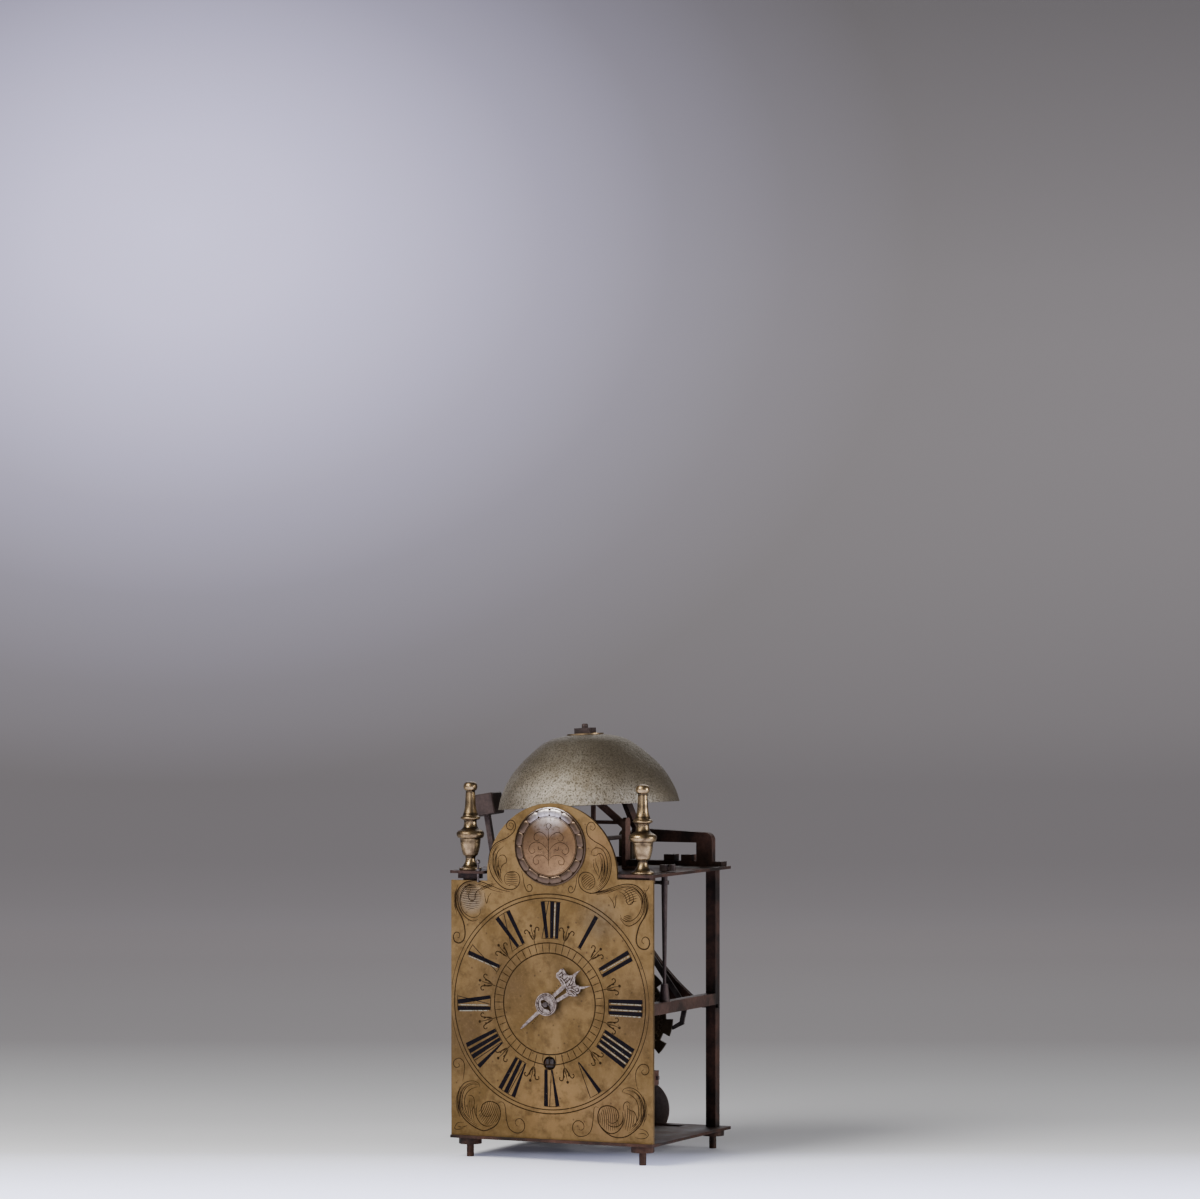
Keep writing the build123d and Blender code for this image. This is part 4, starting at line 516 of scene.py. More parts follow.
# -------- bell
BELL_AXIS = Vector((-0.063, 0.016, 1.0)).normalized()
BELL_RADIUS = 51.7
BELL_WALL = 2.0
CROWN_FLAT = 10.7
CROWN_HOLE = 1.85
LIP_ROUND = 0.25
# The curve from the flat seat to the lip, as shares of the radius and the height.
BELL_CURVE = ((0.36, 0.962), (0.503, 0.878), (0.7, 0.668), (0.85, 0.45), (0.955, 0.2), (1.0, 0.0))


def bell_line(radius, height):
    return smooth_line([(CROWN_FLAT, height)] + [(radius * a, height * b) for a, b in BELL_CURVE], 8)


outer = bell_line(BELL_RADIUS, BELL_HEIGHT)
inner = bell_line(BELL_RADIUS - BELL_WALL, BELL_HEIGHT - BELL_WALL)
lip = [(BELL_RADIUS, 0.35), (BELL_RADIUS - LIP_ROUND, 0.0), (BELL_RADIUS - BELL_WALL + LIP_ROUND, 0.0),
       (BELL_RADIUS - BELL_WALL, 0.3)]
profile = [(CROWN_HOLE, BELL_HEIGHT)] + outer[:-1] + lip + inner[:-1][::-1]
profile += [(CROWN_HOLE, BELL_HEIGHT - BELL_WALL), (CROWN_HOLE, BELL_HEIGHT)]
bell = lathe("bell_shell", profile, 160, MATERIALS["bell_bronze"],
             place_at(BELL_X, BELL_Y, BELL_Z, BELL_AXIS))
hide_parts("bell")

# -------- finials
FINIAL_LINE = (
    ((0.0, 0.0), (6.1, 0.0)),
    ((6.1, 0.0), (6.3, 0.5), (6.3, 1.2)),
    ((6.3, 1.2), (4.6, 2.1), (3.1, 4.4)),
    ((3.1, 4.4), (2.7, 6.4), (3.2, 7.9)),
    ((3.2, 7.9), (3.9, 8.3), (4.3, 9.0)),
    ((4.3, 9.0), (5.3, 12.8), (5.9, 17.8)),
    ((5.9, 17.8), (7.2, 18.4), (7.9, 20.3), (7.3, 21.8), (6.0, 22.6)),
    ((6.0, 22.6), (4.2, 24.0), (3.6, 26.2)),
    ((3.6, 26.2), (3.6, 27.6), (3.9, 28.2)),
    ((3.9, 28.2), (4.9, 28.5), (5.6, 29.3), (5.2, 30.1), (4.4, 30.6)),
    ((4.4, 30.6), (3.3, 34.6), (2.9, 39.6), (2.6, 44.6)),
    ((2.6, 44.6), (3.6, 45.6), (3.95, 47.2), (3.4, 48.8), (2.2, 49.6), (0.0, 49.9)),
)
FINIAL_RADIUS = 7.9
finial_profile = []
for part_line in FINIAL_LINE:
    finial_profile += smooth_line(part_line, 5)[:-1]
finial_profile.append(FINIAL_LINE[-1][-1])
FINIAL_X = (FINIAL_BOX[1][0] - FINIAL_BOX[0][0]) / 2 / MM - FINIAL_RADIUS
FINIAL_Y = (FINIAL_BOX[0][1] + FINIAL_BOX[1][1]) / 2 / MM
turned = [lathe("finial", finial_profile, 72, MATERIALS["bright_brass"],
                place_at(side * FINIAL_X, FINIAL_Y, FINIAL_FOOT)) for side in (-1, 1)]
finials = join("front_finials", turned)
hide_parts("finials")

# -------- hour circle, numerals and half hour marks
LINE_FRONT = DIAL_FACE - 0.035          # engraved lines stand this little proud of the plate, so they show
LINE_BACK = DIAL_FACE + 0.12
EDGE_MARGIN = 0.4                       # no line comes nearer to the plate's sides
RING_RADII = (61.4, 59.2, 34.1, 28.4)
RING_WIDTHS = (0.62, 0.58, 0.6, 0.7)
NUMERAL_IN = 36.9
NUMERAL_OUT = 57.2
THICK = (1.95, 2.5)                     # a broad stroke's inner and outer widths
THIN = (0.36, 0.42)
GLINT_WIDTHS = (0.4, 0.6)
GLINT_INSETS = (1.2, 0.8)                # how much shorter a painted highlight strip is at each end
POINT_WIDTH = 0.7
NUMERAL_PROUD = 0.03
SERIF_GAPS = (0.3, 0.2)
# Strokes of each hour, in degrees clockwise from the top at the outer and the inner end.
BROAD = (
    (-4.1, -2.2), (1.9, 2.3), (5.6, 7.1), (30.5, 30.3), (58.2, 57.0), (62.3, 63.1), (87.1, 85.6),
    (90.6, 90.6), (94.0, 95.6), (115.2, 112.2), (118.7, 117.2), (122.1, 121.7), (125.6, 126.9),
    (146.8, 150.2), (174.8, 177.2), (182.0, 183.1), (203.0, 203.3), (208.2, 208.5), (212.2, 213.2),
    (230.2, 232.0), (236.8, 236.0), (240.3, 240.0), (244.2, 244.6), (265.7, 264.3), (269.3, 274.1),
    (298.4, 302.7), (325.4, 328.3), (333.3, 334.3),
)
POINTED = {146.8, 174.8, 203.0, 230.2}  # the broad strokes of the fives taper to a point
FINE = (
    (-0.4, -7.0), (153.6, 150.9), (179.7, 177.9), (206.6, 204.0), (234.4, 232.7), (272.6, 267.8),
    (303.4, 297.4), (330.4, 321.4),
)
# Painted highlights: pale strips between the strokes.
NUMERAL_GLINTS = (
    (88.8, 87.7), (92.2, 92.9), (95.6, 97.7), (116.9, 114.7), (120.3, 119.4), (123.8, 124.3), (60.2, 59.6),
    (3.7, 4.6), (264.2, 262.4), (267.6, 267.0), (296.8, 300.4),
)
# Arcs across the strokes' ends: from and to at the outer end, then at the inner end.
SERIFS = (
    (-5.6, 7.4, -7.6, 9.4), (28.6, 32.2, 28.0, 33.2), (56.4, 64.2, 54.6, 65.6), (85.6, 95.6, 83.0, 97.6),
    (113.6, 127.2, 110.2, 129.0), (144.8, 154.4, 150.0, 151.0), (173.0, 183.6, 176.6, 185.2),
    (200.8, 213.8, 202.0, 216.0), (228.4, 245.4, 231.0, 247.4), (264.0, 273.6, 261.2, 276.6),
    (296.4, 304.2, 295.0, 306.4), (323.8, 334.8, 320.6, 336.6),
)

lines = Soup()
numerals = Soup()
edges = Soup()


def dial_point(angle, radius):
    """A place on the dial: degrees clockwise from the top, and radius."""
    return (HAND_X + radius * sin(radians(angle)), HAND_Z + radius * cos(radians(angle)))


def clipped(line):
    """The parts of a line that lie on the dial plate."""
    parts, current = [], []
    for x, z in line:
        if DIAL_LEFT + EDGE_MARGIN < x < DIAL_RIGHT - EDGE_MARGIN:
            current.append((x, z))
        elif current:
            parts.append(current)
            current = []
    if current:
        parts.append(current)
    return [part for part in parts if len(part) > 2]


def engrave(line, width=0.4):
    for part in clipped(line):
        lines.ribbon(part, width, LINE_FRONT, LINE_BACK)


def dot(place, radius, steps, proud):
    lines.prism(circle(*place, radius, steps), LINE_FRONT - proud, LINE_BACK)


for radius, width in zip(RING_RADII, RING_WIDTHS):
    ring = circle(HAND_X, HAND_Z, radius, 180)
    if clipped(ring) == [ring]:
        lines.ribbon(ring, width, LINE_FRONT, LINE_BACK, closed=True)
    else:
        engrave(ring + ring[:1], width)

QUARTERS = 48
HOUR_LINE, QUARTER_LINE = 0.62, 0.48
for number in range(QUARTERS):
    outline = [dial_point(360 / QUARTERS * number, radius)
               for radius in (RING_RADII[3], (RING_RADII[2] + RING_RADII[3]) / 2, RING_RADII[2])]
    engrave(outline, QUARTER_LINE if number % 4 else HOUR_LINE)


def bar(angle0, radius0, angle1, radius1, width0, width1, soup):
    """A straight stroke from an inner to an outer place on the dial."""
    x0, z0 = dial_point(angle0, radius0)
    x1, z1 = dial_point(angle1, radius1)
    length = hypot(x1 - x0, z1 - z0)
    ax, az = -(z1 - z0) / length / 2, (x1 - x0) / length / 2
    soup.prism([(x0 + ax * width0, z0 + az * width0), (x1 + ax * width1, z1 + az * width1),
                (x1 - ax * width1, z1 - az * width1), (x0 - ax * width0, z0 - az * width0)],
               LINE_FRONT - NUMERAL_PROUD, LINE_BACK)


for outer_end, inner_end in BROAD:
    tip = POINT_WIDTH if outer_end in POINTED else THICK[0]
    bar(inner_end, NUMERAL_IN, outer_end, NUMERAL_OUT, tip, THICK[1], numerals)
for outer_end, inner_end in FINE:
    bar(inner_end, NUMERAL_IN, outer_end, NUMERAL_OUT, *THIN, numerals)
# painted highlight strips between the strokes
for outer_end, inner_end in NUMERAL_GLINTS:
    bar(inner_end, NUMERAL_IN + GLINT_INSETS[0], outer_end, NUMERAL_OUT - GLINT_INSETS[1],
        *GLINT_WIDTHS, edges)
for out_from, out_to, in_from, in_to in SERIFS:
    for start, end, radius in ((out_from, out_to, NUMERAL_OUT + SERIF_GAPS[1]),
                               (in_from, in_to, NUMERAL_IN - SERIF_GAPS[0])):
        engrave([dial_point(start + (end - start) * k / 8, radius) for k in range(9)])

# A small flower stands on the inner ring between two hours. Points are (along the ring, outwards from it).
MARK_STEM = ((0.0, -5.2), (0.0, 1.5), (0.2, 4.4), (0.0, 7.2), (0.2, 10.2))
MARK_CURL = ((0.5, 2.6), (1.3, 4.4), (1.8, 6.8), (2.7, 8.8), (3.9, 9.0), (4.7, 8.0), (4.3, 7.1))
MARK_LEAF = ((0.5, 2.8), (0.9, 4.6), (1.5, 6.0), (1.3, 7.6), (2.3, 7.0))
MARK_ROW = ((-0.9, 3.0), (0.0, 2.8), (0.9, 3.0))
CURL_TIP, STEM_TIP = ((4.3, 7.3),), ((0.2, 10.7),)


def on_mark(hour, points, side=1, lift=0.0):
    """A mark's points on the dial, mirrored where side is -1 and moved outwards by a lift."""
    ca, sa = cos(radians(30 * hour + 15)), sin(radians(30 * hour + 15))
    placed = [(side * along, RING_RADII[2] + out + lift) for along, out in points]
    return [(HAND_X + out * sa + along * ca, HAND_Z + out * ca - along * sa) for along, out in placed]


for hour in range(12):
    engrave(smooth_line(on_mark(hour, MARK_STEM), 4), 0.42)
    for side in (-1, 1):
        engrave(smooth_line(on_mark(hour, MARK_CURL, side), 5), 0.62)
        engrave(smooth_line(on_mark(hour, MARK_LEAF, side), 5), 0.45)
        dot(*on_mark(hour, CURL_TIP, side), 0.42, 10, 0.01)
    for row in range(4):
        engrave(on_mark(hour, MARK_ROW, lift=0.8 * row), 0.26)
    dot(*on_mark(hour, STEM_TIP), 0.82, 12, 0.02)

# -------- scrolls in the corners and the arch
# Each cut is its width and then the x and z of its points.
CUTS = (
    # lower right: leaf, scroll ball, stems and small leaf
    (0.6, 43.8, 40.5, 44.6, 42.4, 47, 43.3, 50, 43.2, 53, 41.8, 55.5, 39.3, 57.2, 36, 57.7, 32, 57.2, 28,
     55.6, 24, 53, 21, 50, 18.4, 47, 16.6, 44, 15.6, 41, 15.4, 37.5, 16, 34.5, 17.5, 31.5, 19.9, 29.4, 23,
     28.8, 26, 29.2, 29, 30.6, 31.5, 33.4, 32.7, 36.6, 32.7, 39.5, 31.6, 41.2, 29.6, 41.6, 27, 40.6, 24.8,
     38.4, 23.3, 36, 23.6, 34.6, 25.4),
    (0.5, 34.5, 22.9, 37, 21.4, 40.5, 21.5, 43.2, 23.3, 44.3, 26.2, 43.9, 29.8),
    (0.55, 31, 21, 33.4, 18.8, 36.6, 17.4, 40, 18.2, 42.6, 20.4, 44.2, 23.4, 44.5, 27),
    (0.42, 46.8, 41.9, 50.6, 41.2, 53.8, 38.6, 55.3, 34.8, 55.7, 30, 55.2, 26, 53.4, 22.4, 50.6, 19.6),
    (0.36, 49.4, 42.4, 53.2, 40.0, 55.6, 36.2, 56.6, 31.6, 56.2, 27, 54.6, 23.2),
    (0.42, 44.4, 40.6, 48.4, 39.6, 51.4, 37.6, 53.1, 35, 53.8, 31.4, 53.5, 27.6, 52.4, 24.4, 50.2, 21.6),
    (0.42, 44.6, 30.3, 44.5, 33.2, 45.5, 35.1, 47.3, 35.5, 48.4, 34.4),
    (0.4, 46.5, 33.8, 47.4, 31.7, 49, 30.7, 50.8, 30.3, 52.1, 28.4, 52.6, 25.8, 52, 23.4, 50.3, 20.8),
    (0.36, 51.6, 16, 54.4, 15.4, 57, 15.6, 58.6, 16.3, 59.7, 17.6, 58.8, 19.3, 56.5, 20.5, 53.6, 20.9),
    (0.34, 53.6, 18, 56.8, 18.4, 58.8, 17.3),
    (0.42, 29.6, 31.3, 27.6, 32, 26.5, 30.8, 26.2, 28, 25.7, 23.5, 25.1, 20.2, 23.8, 17.4, 21.2, 15.6,
     17.6, 15, 15, 16.1, 13.4, 18.5, 13.6, 21.5, 15.5, 23.5, 18, 23.6, 20, 22, 20.2, 19.8, 18.8, 18.5,
     17.4, 19, 17.2, 20.4),
    (0.46, 53.4, 42.4, 52.4, 46, 51.9, 50, 52.6, 53.4, 54.6, 56, 57, 56.8, 59.4, 55.8, 60.1, 53.4,
     59.2, 51.6, 57.2, 50.9, 55.8, 51.8, 55.9, 53.2, 57.2, 53.8),
    # lower left
    (0.6, -44.8, 40.2, -45.2, 41.9, -47.8, 43.1, -51.2, 43, -54.4, 41.6, -56.9, 38.6, -58.3, 34.4,
     -58.3, 30, -57.2, 26, -55, 22.5, -52, 19.8, -48, 17.4, -44, 15.8, -41, 15.6, -38, 16.7, -35, 18.4,
     -33, 20.8, -31.8, 24, -31.8, 27.5, -33, 30.3, -36, 31.9, -39.4, 32, -42.2, 30.6, -43.6, 28.2,
     -43.2, 25.4, -41.4, 23.8, -39, 23.6, -37.4, 24.8),
    (0.5, -46.2, 30, -46.8, 27, -46.8, 24.6, -46, 22, -43.5, 19.2, -40, 18.1, -36.6, 19),
    (0.42, -45, 41.4, -49, 41.4, -52.6, 39.8, -54.9, 36.4, -55.8, 32, -55.5, 27.6, -54, 23.8, -51, 20.6),
    (0.4, -47.6, 42.4, -52.4, 41, -55.6, 37.4, -57, 32.4, -56.6, 27.4, -54.8, 23.4),
    (0.4, -46, 40, -49.6, 38.8, -52.4, 36.6, -54, 33.2, -54, 29, -52.8, 25.4, -50.8, 22.4),
    (0.4, -51.8, 34.8, -50, 35, -48.4, 33.6, -48, 31, -48.6, 28, -50, 26),
    (0.36, -54.5, 19.7, -58, 19.4, -59.8, 17.7, -60.2, 15.8, -57.5, 15.6, -54.6, 16.4),
    (0.34, -58.6, 17.4, -55.6, 16.9, -52.4, 18),
    (0.44, -33.5, 30.9, -31.5, 32.2, -29.4, 31.4, -28.5, 28.5, -28, 24, -27.2, 20, -25.6, 17, -22, 15.2,
     -18.6, 15.7, -16.6, 18, -16.8, 21, -18.7, 23.1, -21, 23, -22.4, 21.4, -21.8, 19.6, -20.4, 18.9),
    (0.44, -55.2, 43, -54.6, 46.6, -54.1, 51, -55, 54.2, -57.6, 55.7, -60.6, 54.3, -61, 51.8, -59.2, 50.3,
     -57.3, 51.4, -58, 52.8),
    # upper right
    (0.7, 24, 150.4, 30, 151.6, 36, 153.6, 42, 155.5, 47, 156.3, 52, 155.6, 56, 152.8, 58.2, 149,
     58.9, 145, 58.5, 141.5, 57.2, 138.2, 55.6, 135.6, 54.2, 133.2, 53, 129.6, 52.3, 125.6, 53.3, 122.3,
     56, 120.5, 59, 120.9, 60.4, 123.4, 60, 126, 58, 127.3, 56.1, 126.2, 55.9, 124.3, 57.2, 123.4),
    (0.42, 28, 150, 34, 150.8, 39, 152.6, 44, 154.4, 48.6, 154.7, 52.3, 153.3, 54.8, 150.4, 55.9, 146.8,
     55.4, 143, 53.9, 139.8, 51.4, 137.2, 48.2, 135.6, 45.4, 135.7, 43.4, 137, 42.6, 139.2),
    (0.5, 56, 151.6, 57.2, 148, 57.2, 144, 56.4, 140.4, 54.6, 137.2, 52, 134.8, 48.4, 133.1, 45.4, 133.8,
     42.4, 137.2),
    (0.36, 50, 155, 53.8, 152.6, 56.2, 148.4, 56.4, 143.6, 55, 139.4),
    (0.42, 41.8, 152, 44.4, 150.8, 46, 148.6, 46.4, 146.4, 47.6, 145, 49.6, 145.4, 50.6, 147.2, 50.2, 150,
     48.2, 152.6),
    (0.36, 44.6, 153, 47.2, 151, 48.4, 148.4, 48, 146.6),
    (0.36, 35.2, 149.6, 37, 147.6, 38.4, 145.4, 39, 142.8, 39.8, 145.8, 39.8, 148.4, 40.8, 150.4),
    (0.34, 56.6, 153.2, 58.4, 152.8, 59.8, 154.4, 60.2, 156.4),
    # upper left
    (0.7, -25.4, 150.2, -31, 151.2, -37.4, 153.4, -43.4, 155.3, -48.6, 155.8, -53.6, 154.8, -57.4, 151.8,
     -59.4, 147.8, -59.7, 143.6, -58.8, 140, -57, 137, -55.4, 134, -54.2, 130, -53.8, 125.6, -54.9, 122.2,
     -57.6, 120.6, -60.4, 121.6, -61.2, 124.2, -60, 126.4, -57.8, 126.4, -57.2, 124.4, -58.6, 123.4),
    (0.42, -30, 149.8, -36, 150.8, -41, 152.6, -45.8, 154, -50.2, 153.8, -54, 151.8, -56.4, 148.2,
     -57, 144, -56, 140.2, -53.6, 137.2, -50.2, 135.4, -46.8, 135.6, -44.4, 137.6, -44.2, 140.4),
    (0.5, -57.8, 150, -58.4, 145.6, -57.6, 141, -55.6, 137.4, -52.6, 134.6, -49, 133.2, -45.8, 134.2),
    (0.42, -43, 151.8, -46, 150.4, -47.4, 148, -47.6, 145.8, -49.2, 144.6, -51.2, 145.6, -51.6, 148.2,
     -50, 151.4),
    (0.36, -37.4, 149.4, -39.2, 147, -40.2, 143.4, -41.2, 146.4, -41.4, 149.4),
    # arch, right
    (0.5, 25.4, 187.6, 24.3, 188.3, 24.2, 186.6, 25.8, 185.8, 27.2, 187.4, 26.2, 189.8, 23.8, 190.1,
     22.1, 188, 22, 184.8, 23.5, 182, 27, 179.5, 31, 177.5, 34.2, 175, 36.2, 171.5, 37, 167, 36.5, 162,
     35, 157.8, 32, 154, 28, 151.4, 24, 150.7, 20.5, 151.8, 18, 154, 17, 157.2, 17.7, 160.4, 20.2, 162.2,
     23.4, 162, 26, 160.2, 27, 157, 26, 154.3, 23.2, 152.7, 20.4, 153.8, 18.9, 156.8, 19.8, 159.6),
    (0.42, 24.6, 172.2, 25.3, 174.6, 27.6, 176, 30.6, 175.6, 33, 173.4, 34.4, 169.4, 34.7, 164.4,
     33.7, 159.8, 31.4, 156.2),
    (0.4, 24.8, 172.2, 27.4, 171.7, 29.6, 172.9, 31.6, 172.2, 32.9, 168.6, 33, 164, 31.8, 159.8,
     29.8, 156.4),
    (0.36, 29.6, 172.9, 31, 169.4, 31.4, 165.2, 30.4, 161.4, 28.6, 157.8),
    (0.36, 26.4, 168.6, 26.3, 165.6, 27.5, 163, 29.2, 160.2),
    (0.36, 27.4, 170.2, 27.8, 167.2, 29, 164.6, 29.4, 162),
    (0.44, 16.8, 162.4, 15.8, 158.4, 15.2, 154.6, 13.8, 151.4, 11.8, 150.6, 10.6, 152.4, 11.8, 154.3,
     13.4, 153.4, 12.7, 152.2),
    # arch, left
    (0.5, -25, 187, -26.2, 187.6, -25.6, 188.9, -23.8, 188.4, -23.6, 186.4, -25.2, 185, -27.4, 186,
     -27.6, 188.6, -25.6, 190.4, -23, 189.6, -22.2, 187, -23, 184.4, -25, 182.3, -28, 180.3, -32, 178.6,
     -35, 176.8, -37.6, 173.5, -38.8, 169, -38.6, 164, -37, 159.5, -34, 155.6, -30.5, 152.8, -26.8, 151.5,
     -23.2, 151.9, -20.6, 153.8, -19.4, 157, -20.4, 160.2, -23, 161.6, -26.4, 161.3, -28.7, 159.4,
     -29.1, 156.8, -28, 154.6, -25.6, 153.6),
    (0.42, -34, 175, -35.9, 171.4, -36.3, 166.6, -35.3, 162, -33, 157.6, -30.4, 154.6),
    (0.42, -29.6, 175.6, -32, 173.8, -33.7, 171.6, -34.6, 167.4, -34, 162.8, -32.2, 158.4, -30.2, 155.6),
    (0.4, -33.3, 168.4, -32, 170.3, -29.6, 170.7, -28, 169, -28, 166.6, -29.8, 165.6, -31.3, 163.4,
     -31.6, 159.6, -30.8, 156.6),
    (0.36, -32.6, 166.4, -33.2, 162.6, -32.2, 158.6),
    (0.44, -18.4, 162, -17.4, 158.2, -16.6, 154, -14.8, 150.9, -12.7, 150.9, -11.8, 152.8, -13, 154.6,
     -14.9, 153.9, -14.5, 152.7),
)
CUT_WIDTH = 1.08
cut_points = [list(zip(numbers[::2], numbers[1::2])) for width, *numbers in CUTS]
for cut, points in zip(CUTS, cut_points):
    engrave(smooth_line(points, 5), cut[0] * CUT_WIDTH)

# Fine cuts that follow the leaves' backs: the cut, its first and last point, and the side steps.
BACKS = (
    (0, 4, 13, (-1.0, -1.9, -2.8)), (12, 4, 13, (1.0, 1.9, 2.8)), (22, 1, 11, (-0.9, -1.7, -2.5, -3.3)),
    (30, 1, 12, (0.9, 1.7, 2.5, 3.3)), (35, 12, 20, (-0.9, -1.8, -2.6)), (42, 13, 20, (0.9, 1.8, 2.6)),
)
BACK_WIDTH = 0.27
for cut, first, last, steps in BACKS:
    for number, step in enumerate(steps):
        line = smooth_line(cut_points[cut][first:last], 5)
        line = [(x + nx * step, z + nz * step) for (x, z), (nx, nz) in zip(line, normals(line))]
        engrave(line[3 * number + 2:len(line) - 2 * number - 2], BACK_WIDTH)


def shade(x, z, half_x, half_z, count, slant, bow):
    """Parallel cuts that fill an oval patch, bowed a little. Slant is in degrees from level."""
    turn_x, turn_z = cos(radians(slant)), sin(radians(slant))
    for number in range(count):
        across = 2 * (number + 0.5) / count - 1
        reach = half_x * (1 - across * across) ** 0.5
        row = []
        for k in range(7):
            along = reach * (k / 3 - 1)
            out = across * half_z + bow * (1 - (k / 3 - 1) ** 2)
            row.append((x + along * turn_x - out * turn_z, z + along * turn_z + out * turn_x))
        engrave(row)


# Place, half sizes, number of cuts, slant and bow of each shaded patch.
SHADED = (
    (36.0, 25.6, 6.8, 6.4, 11, 86, 0.7), (47.6, 26.6, 7.4, 3.4, 5, 84, -0.6),
    (56.4, 31.0, 8.6, 1.3, 3, 90, -1.6), (-39.0, 25.6, 6.6, 6.4, 11, 62, -0.8),
    (-49.4, 27.4, 6.4, 2.6, 4, 96, 0.6), (-57.0, 31.0, 8.6, 1.3, 3, 90, 1.6),
    (57.2, 145.6, 8.6, 1.3, 3, 92, -1.6), (48.8, 149.6, 4.4, 4.6, 7, 24, 0.5),
    (46.8, 137.0, 3.0, 1.8, 4, 20, 0.4), (-50.2, 146.6, 6.6, 7.4, 15, 4, 0.5),
    (-58.6, 145.0, 8.4, 1.0, 3, 88, 1.5), (-40.0, 152.6, 6.0, 1.0, 3, 20, 0.3),
    (33.0, 152.2, 7.6, 0.9, 3, 15, -0.2), (22.6, 157.2, 4.0, 4.0, 7, 38, 0.4),
    (31.2, 163.6, 7.4, 1.7, 4, 84, -0.9), (-24.6, 157.4, 4.1, 4.0, 8, 2, 0.3),
    (-33.4, 164.6, 7.4, 2.2, 5, 100, 1.0),
)
for patch in SHADED:
    shade(*patch)

for soup, name, material in ((lines, "dial_engraving", LINE), (numerals, "dial_numerals", WAX),
                             (edges, "numeral_glints", EDGE)):
    soup.make(name, "frame", material)

# -------- boss
BOSS_FIELD = 16.6
BOSS_RIM = 1.0
BOSS_DOME = 2.6
BOSS_EDGE = BOSS_RADIUS - 0.5
BAND_IN, BAND_OUT = 17.2, 20.9          # ring of knobs
KNOBS = 16
KNOB_RISE = 0.38


def boss_height(radius):
    """How far the boss stands in front of the dial at a radius."""
    if radius > BOSS_FIELD:
        share = (BOSS_EDGE - radius) / (BOSS_EDGE - BOSS_FIELD)
        return BOSS_RIM + 0.1 + 0.3 * max(0.0, share)
    return BOSS_RIM + 0.4 + (BOSS_DOME - BOSS_RIM - 0.4) * (1 - (radius / BOSS_FIELD) ** 3)


def knobs(radius, angle):
    """Rounded knobs round the boss's rim."""
    if not BAND_IN < radius < BAND_OUT:
        return 0.0
    across = 2 * (radius - BAND_IN) / (BAND_OUT - BAND_IN) - 1
    along = 2 * (angle * KNOBS / (2 * pi) % 1.0) - 1
    return KNOB_RISE * max(0.0, 1 - across * across - along ** 4) ** 0.5


boss_profile = [(0.0, 0.0), (BOSS_RADIUS - 0.1, 0.0), (BOSS_RADIUS, 0.25), (BOSS_RADIUS - 0.1, 0.8),
                (BOSS_EDGE, BOSS_RIM), (BOSS_RADIUS - 0.9, BOSS_RIM + 0.02)]
front_radii = [BAND_OUT - (BAND_OUT - BAND_IN) * k / 12 for k in range(13)]
front_radii += [BOSS_FIELD + 0.3] + [BOSS_FIELD * (1 - k / 16) for k in range(16)]
boss_profile += [(radius, boss_height(radius)) for radius in front_radii] + [(0.0, BOSS_DOME)]
boss = lathe("boss_plate", boss_profile, 320, MATERIALS["boss_brass"],
             place_at(BOSS_X, DIAL_FACE, BOSS_Z, (0, -1, 0)), knobs)
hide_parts("dial_boss")

boss_lines = Soup()


def boss_corner(x, z, is_back):
    """A place just above the boss's dome, or just below it. X and Z are from its centre."""
    return (BOSS_X + x, DIAL_FACE - boss_height(hypot(x, z)) - (-0.17 if is_back else 0.03), BOSS_Z + z)


def on_boss(line, width):
    boss_lines.strip(line, width, boss_corner, tip=0.4, growth=2.4)


BOSS_RINGS = ((21.2, 0.5), (20.95, 0.4), (17.0, 0.55), (16.3, 0.3))     # radius and width
KNOB_CUT, KNOB_CUT_WIDTH = (17.0, 18.2, 19.2, 20.4, 21.2), 2.2          # a dark cut between two knobs
turns = [radians(90 + 359.99 * i / 120) for i in range(121)] + [radians(90)]
for radius, width in BOSS_RINGS:
    on_boss([(radius * cos(turn), radius * sin(turn)) for turn in turns], width)
for number in range(KNOBS):
    turn = radians(360 / KNOBS * number - 90)
    on_boss([(radius * cos(turn), radius * sin(turn)) for radius in KNOB_CUT], KNOB_CUT_WIDTH)
# A plain scroll ornament fills the field.
FLOURISH = (
    ((0.0, -11.0), (0.0, -4.0), (0.0, 2.0), (0.0, 9.5)),
    ((0.0, -8.0), (2.6, -5.4), (6.6, -5.0), (9.4, -7.0), (9.0, -9.8), (6.6, -9.8), (6.2, -8.0),
     (7.4, -7.6)),
    ((0.0, -3.0), (3.0, 0.6), (7.0, 2.4), (11.0, 1.0), (12.4, -2.2), (10.6, -4.2), (8.4, -3.0),
     (9.2, -1.2)),
    ((0.0, 3.0), (2.0, 6.2), (5.4, 8.0), (8.6, 6.6), (8.8, 3.8), (6.6, 3.2), (5.6, 4.8)),
    ((0.0, 9.5), (1.6, 11.6), (0.0, 13.2)),
    ((3.6, -1.2), (5.8, -2.0), (6.4, 0.2)),
    ((2.4, 4.4), (4.6, 4.0)),
)
for points in FLOURISH:
    for side in (-1, 1):
        on_boss(smooth_line([(side * x, z) for x, z in points], 6), 0.34)
boss_lines.make("boss_engraving", "frame", LINE)

# -------- hand
HAND_FRONT = DIAL_FACE - 3.9
HUB_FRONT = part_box("hour_hand")[0][1] / MM
HAND_BACK, HUB_BACK = HAND_FRONT + 0.15, HUB_FRONT + 0.15               # how deep the chasing goes
CHASED_WIDTH, PRICK_RADIUS = 0.5, 0.26
HUB_RINGS = ((5.7, 0.36), (4.9, 0.24))
soften("hour_hand", 0.22, 3, 30)

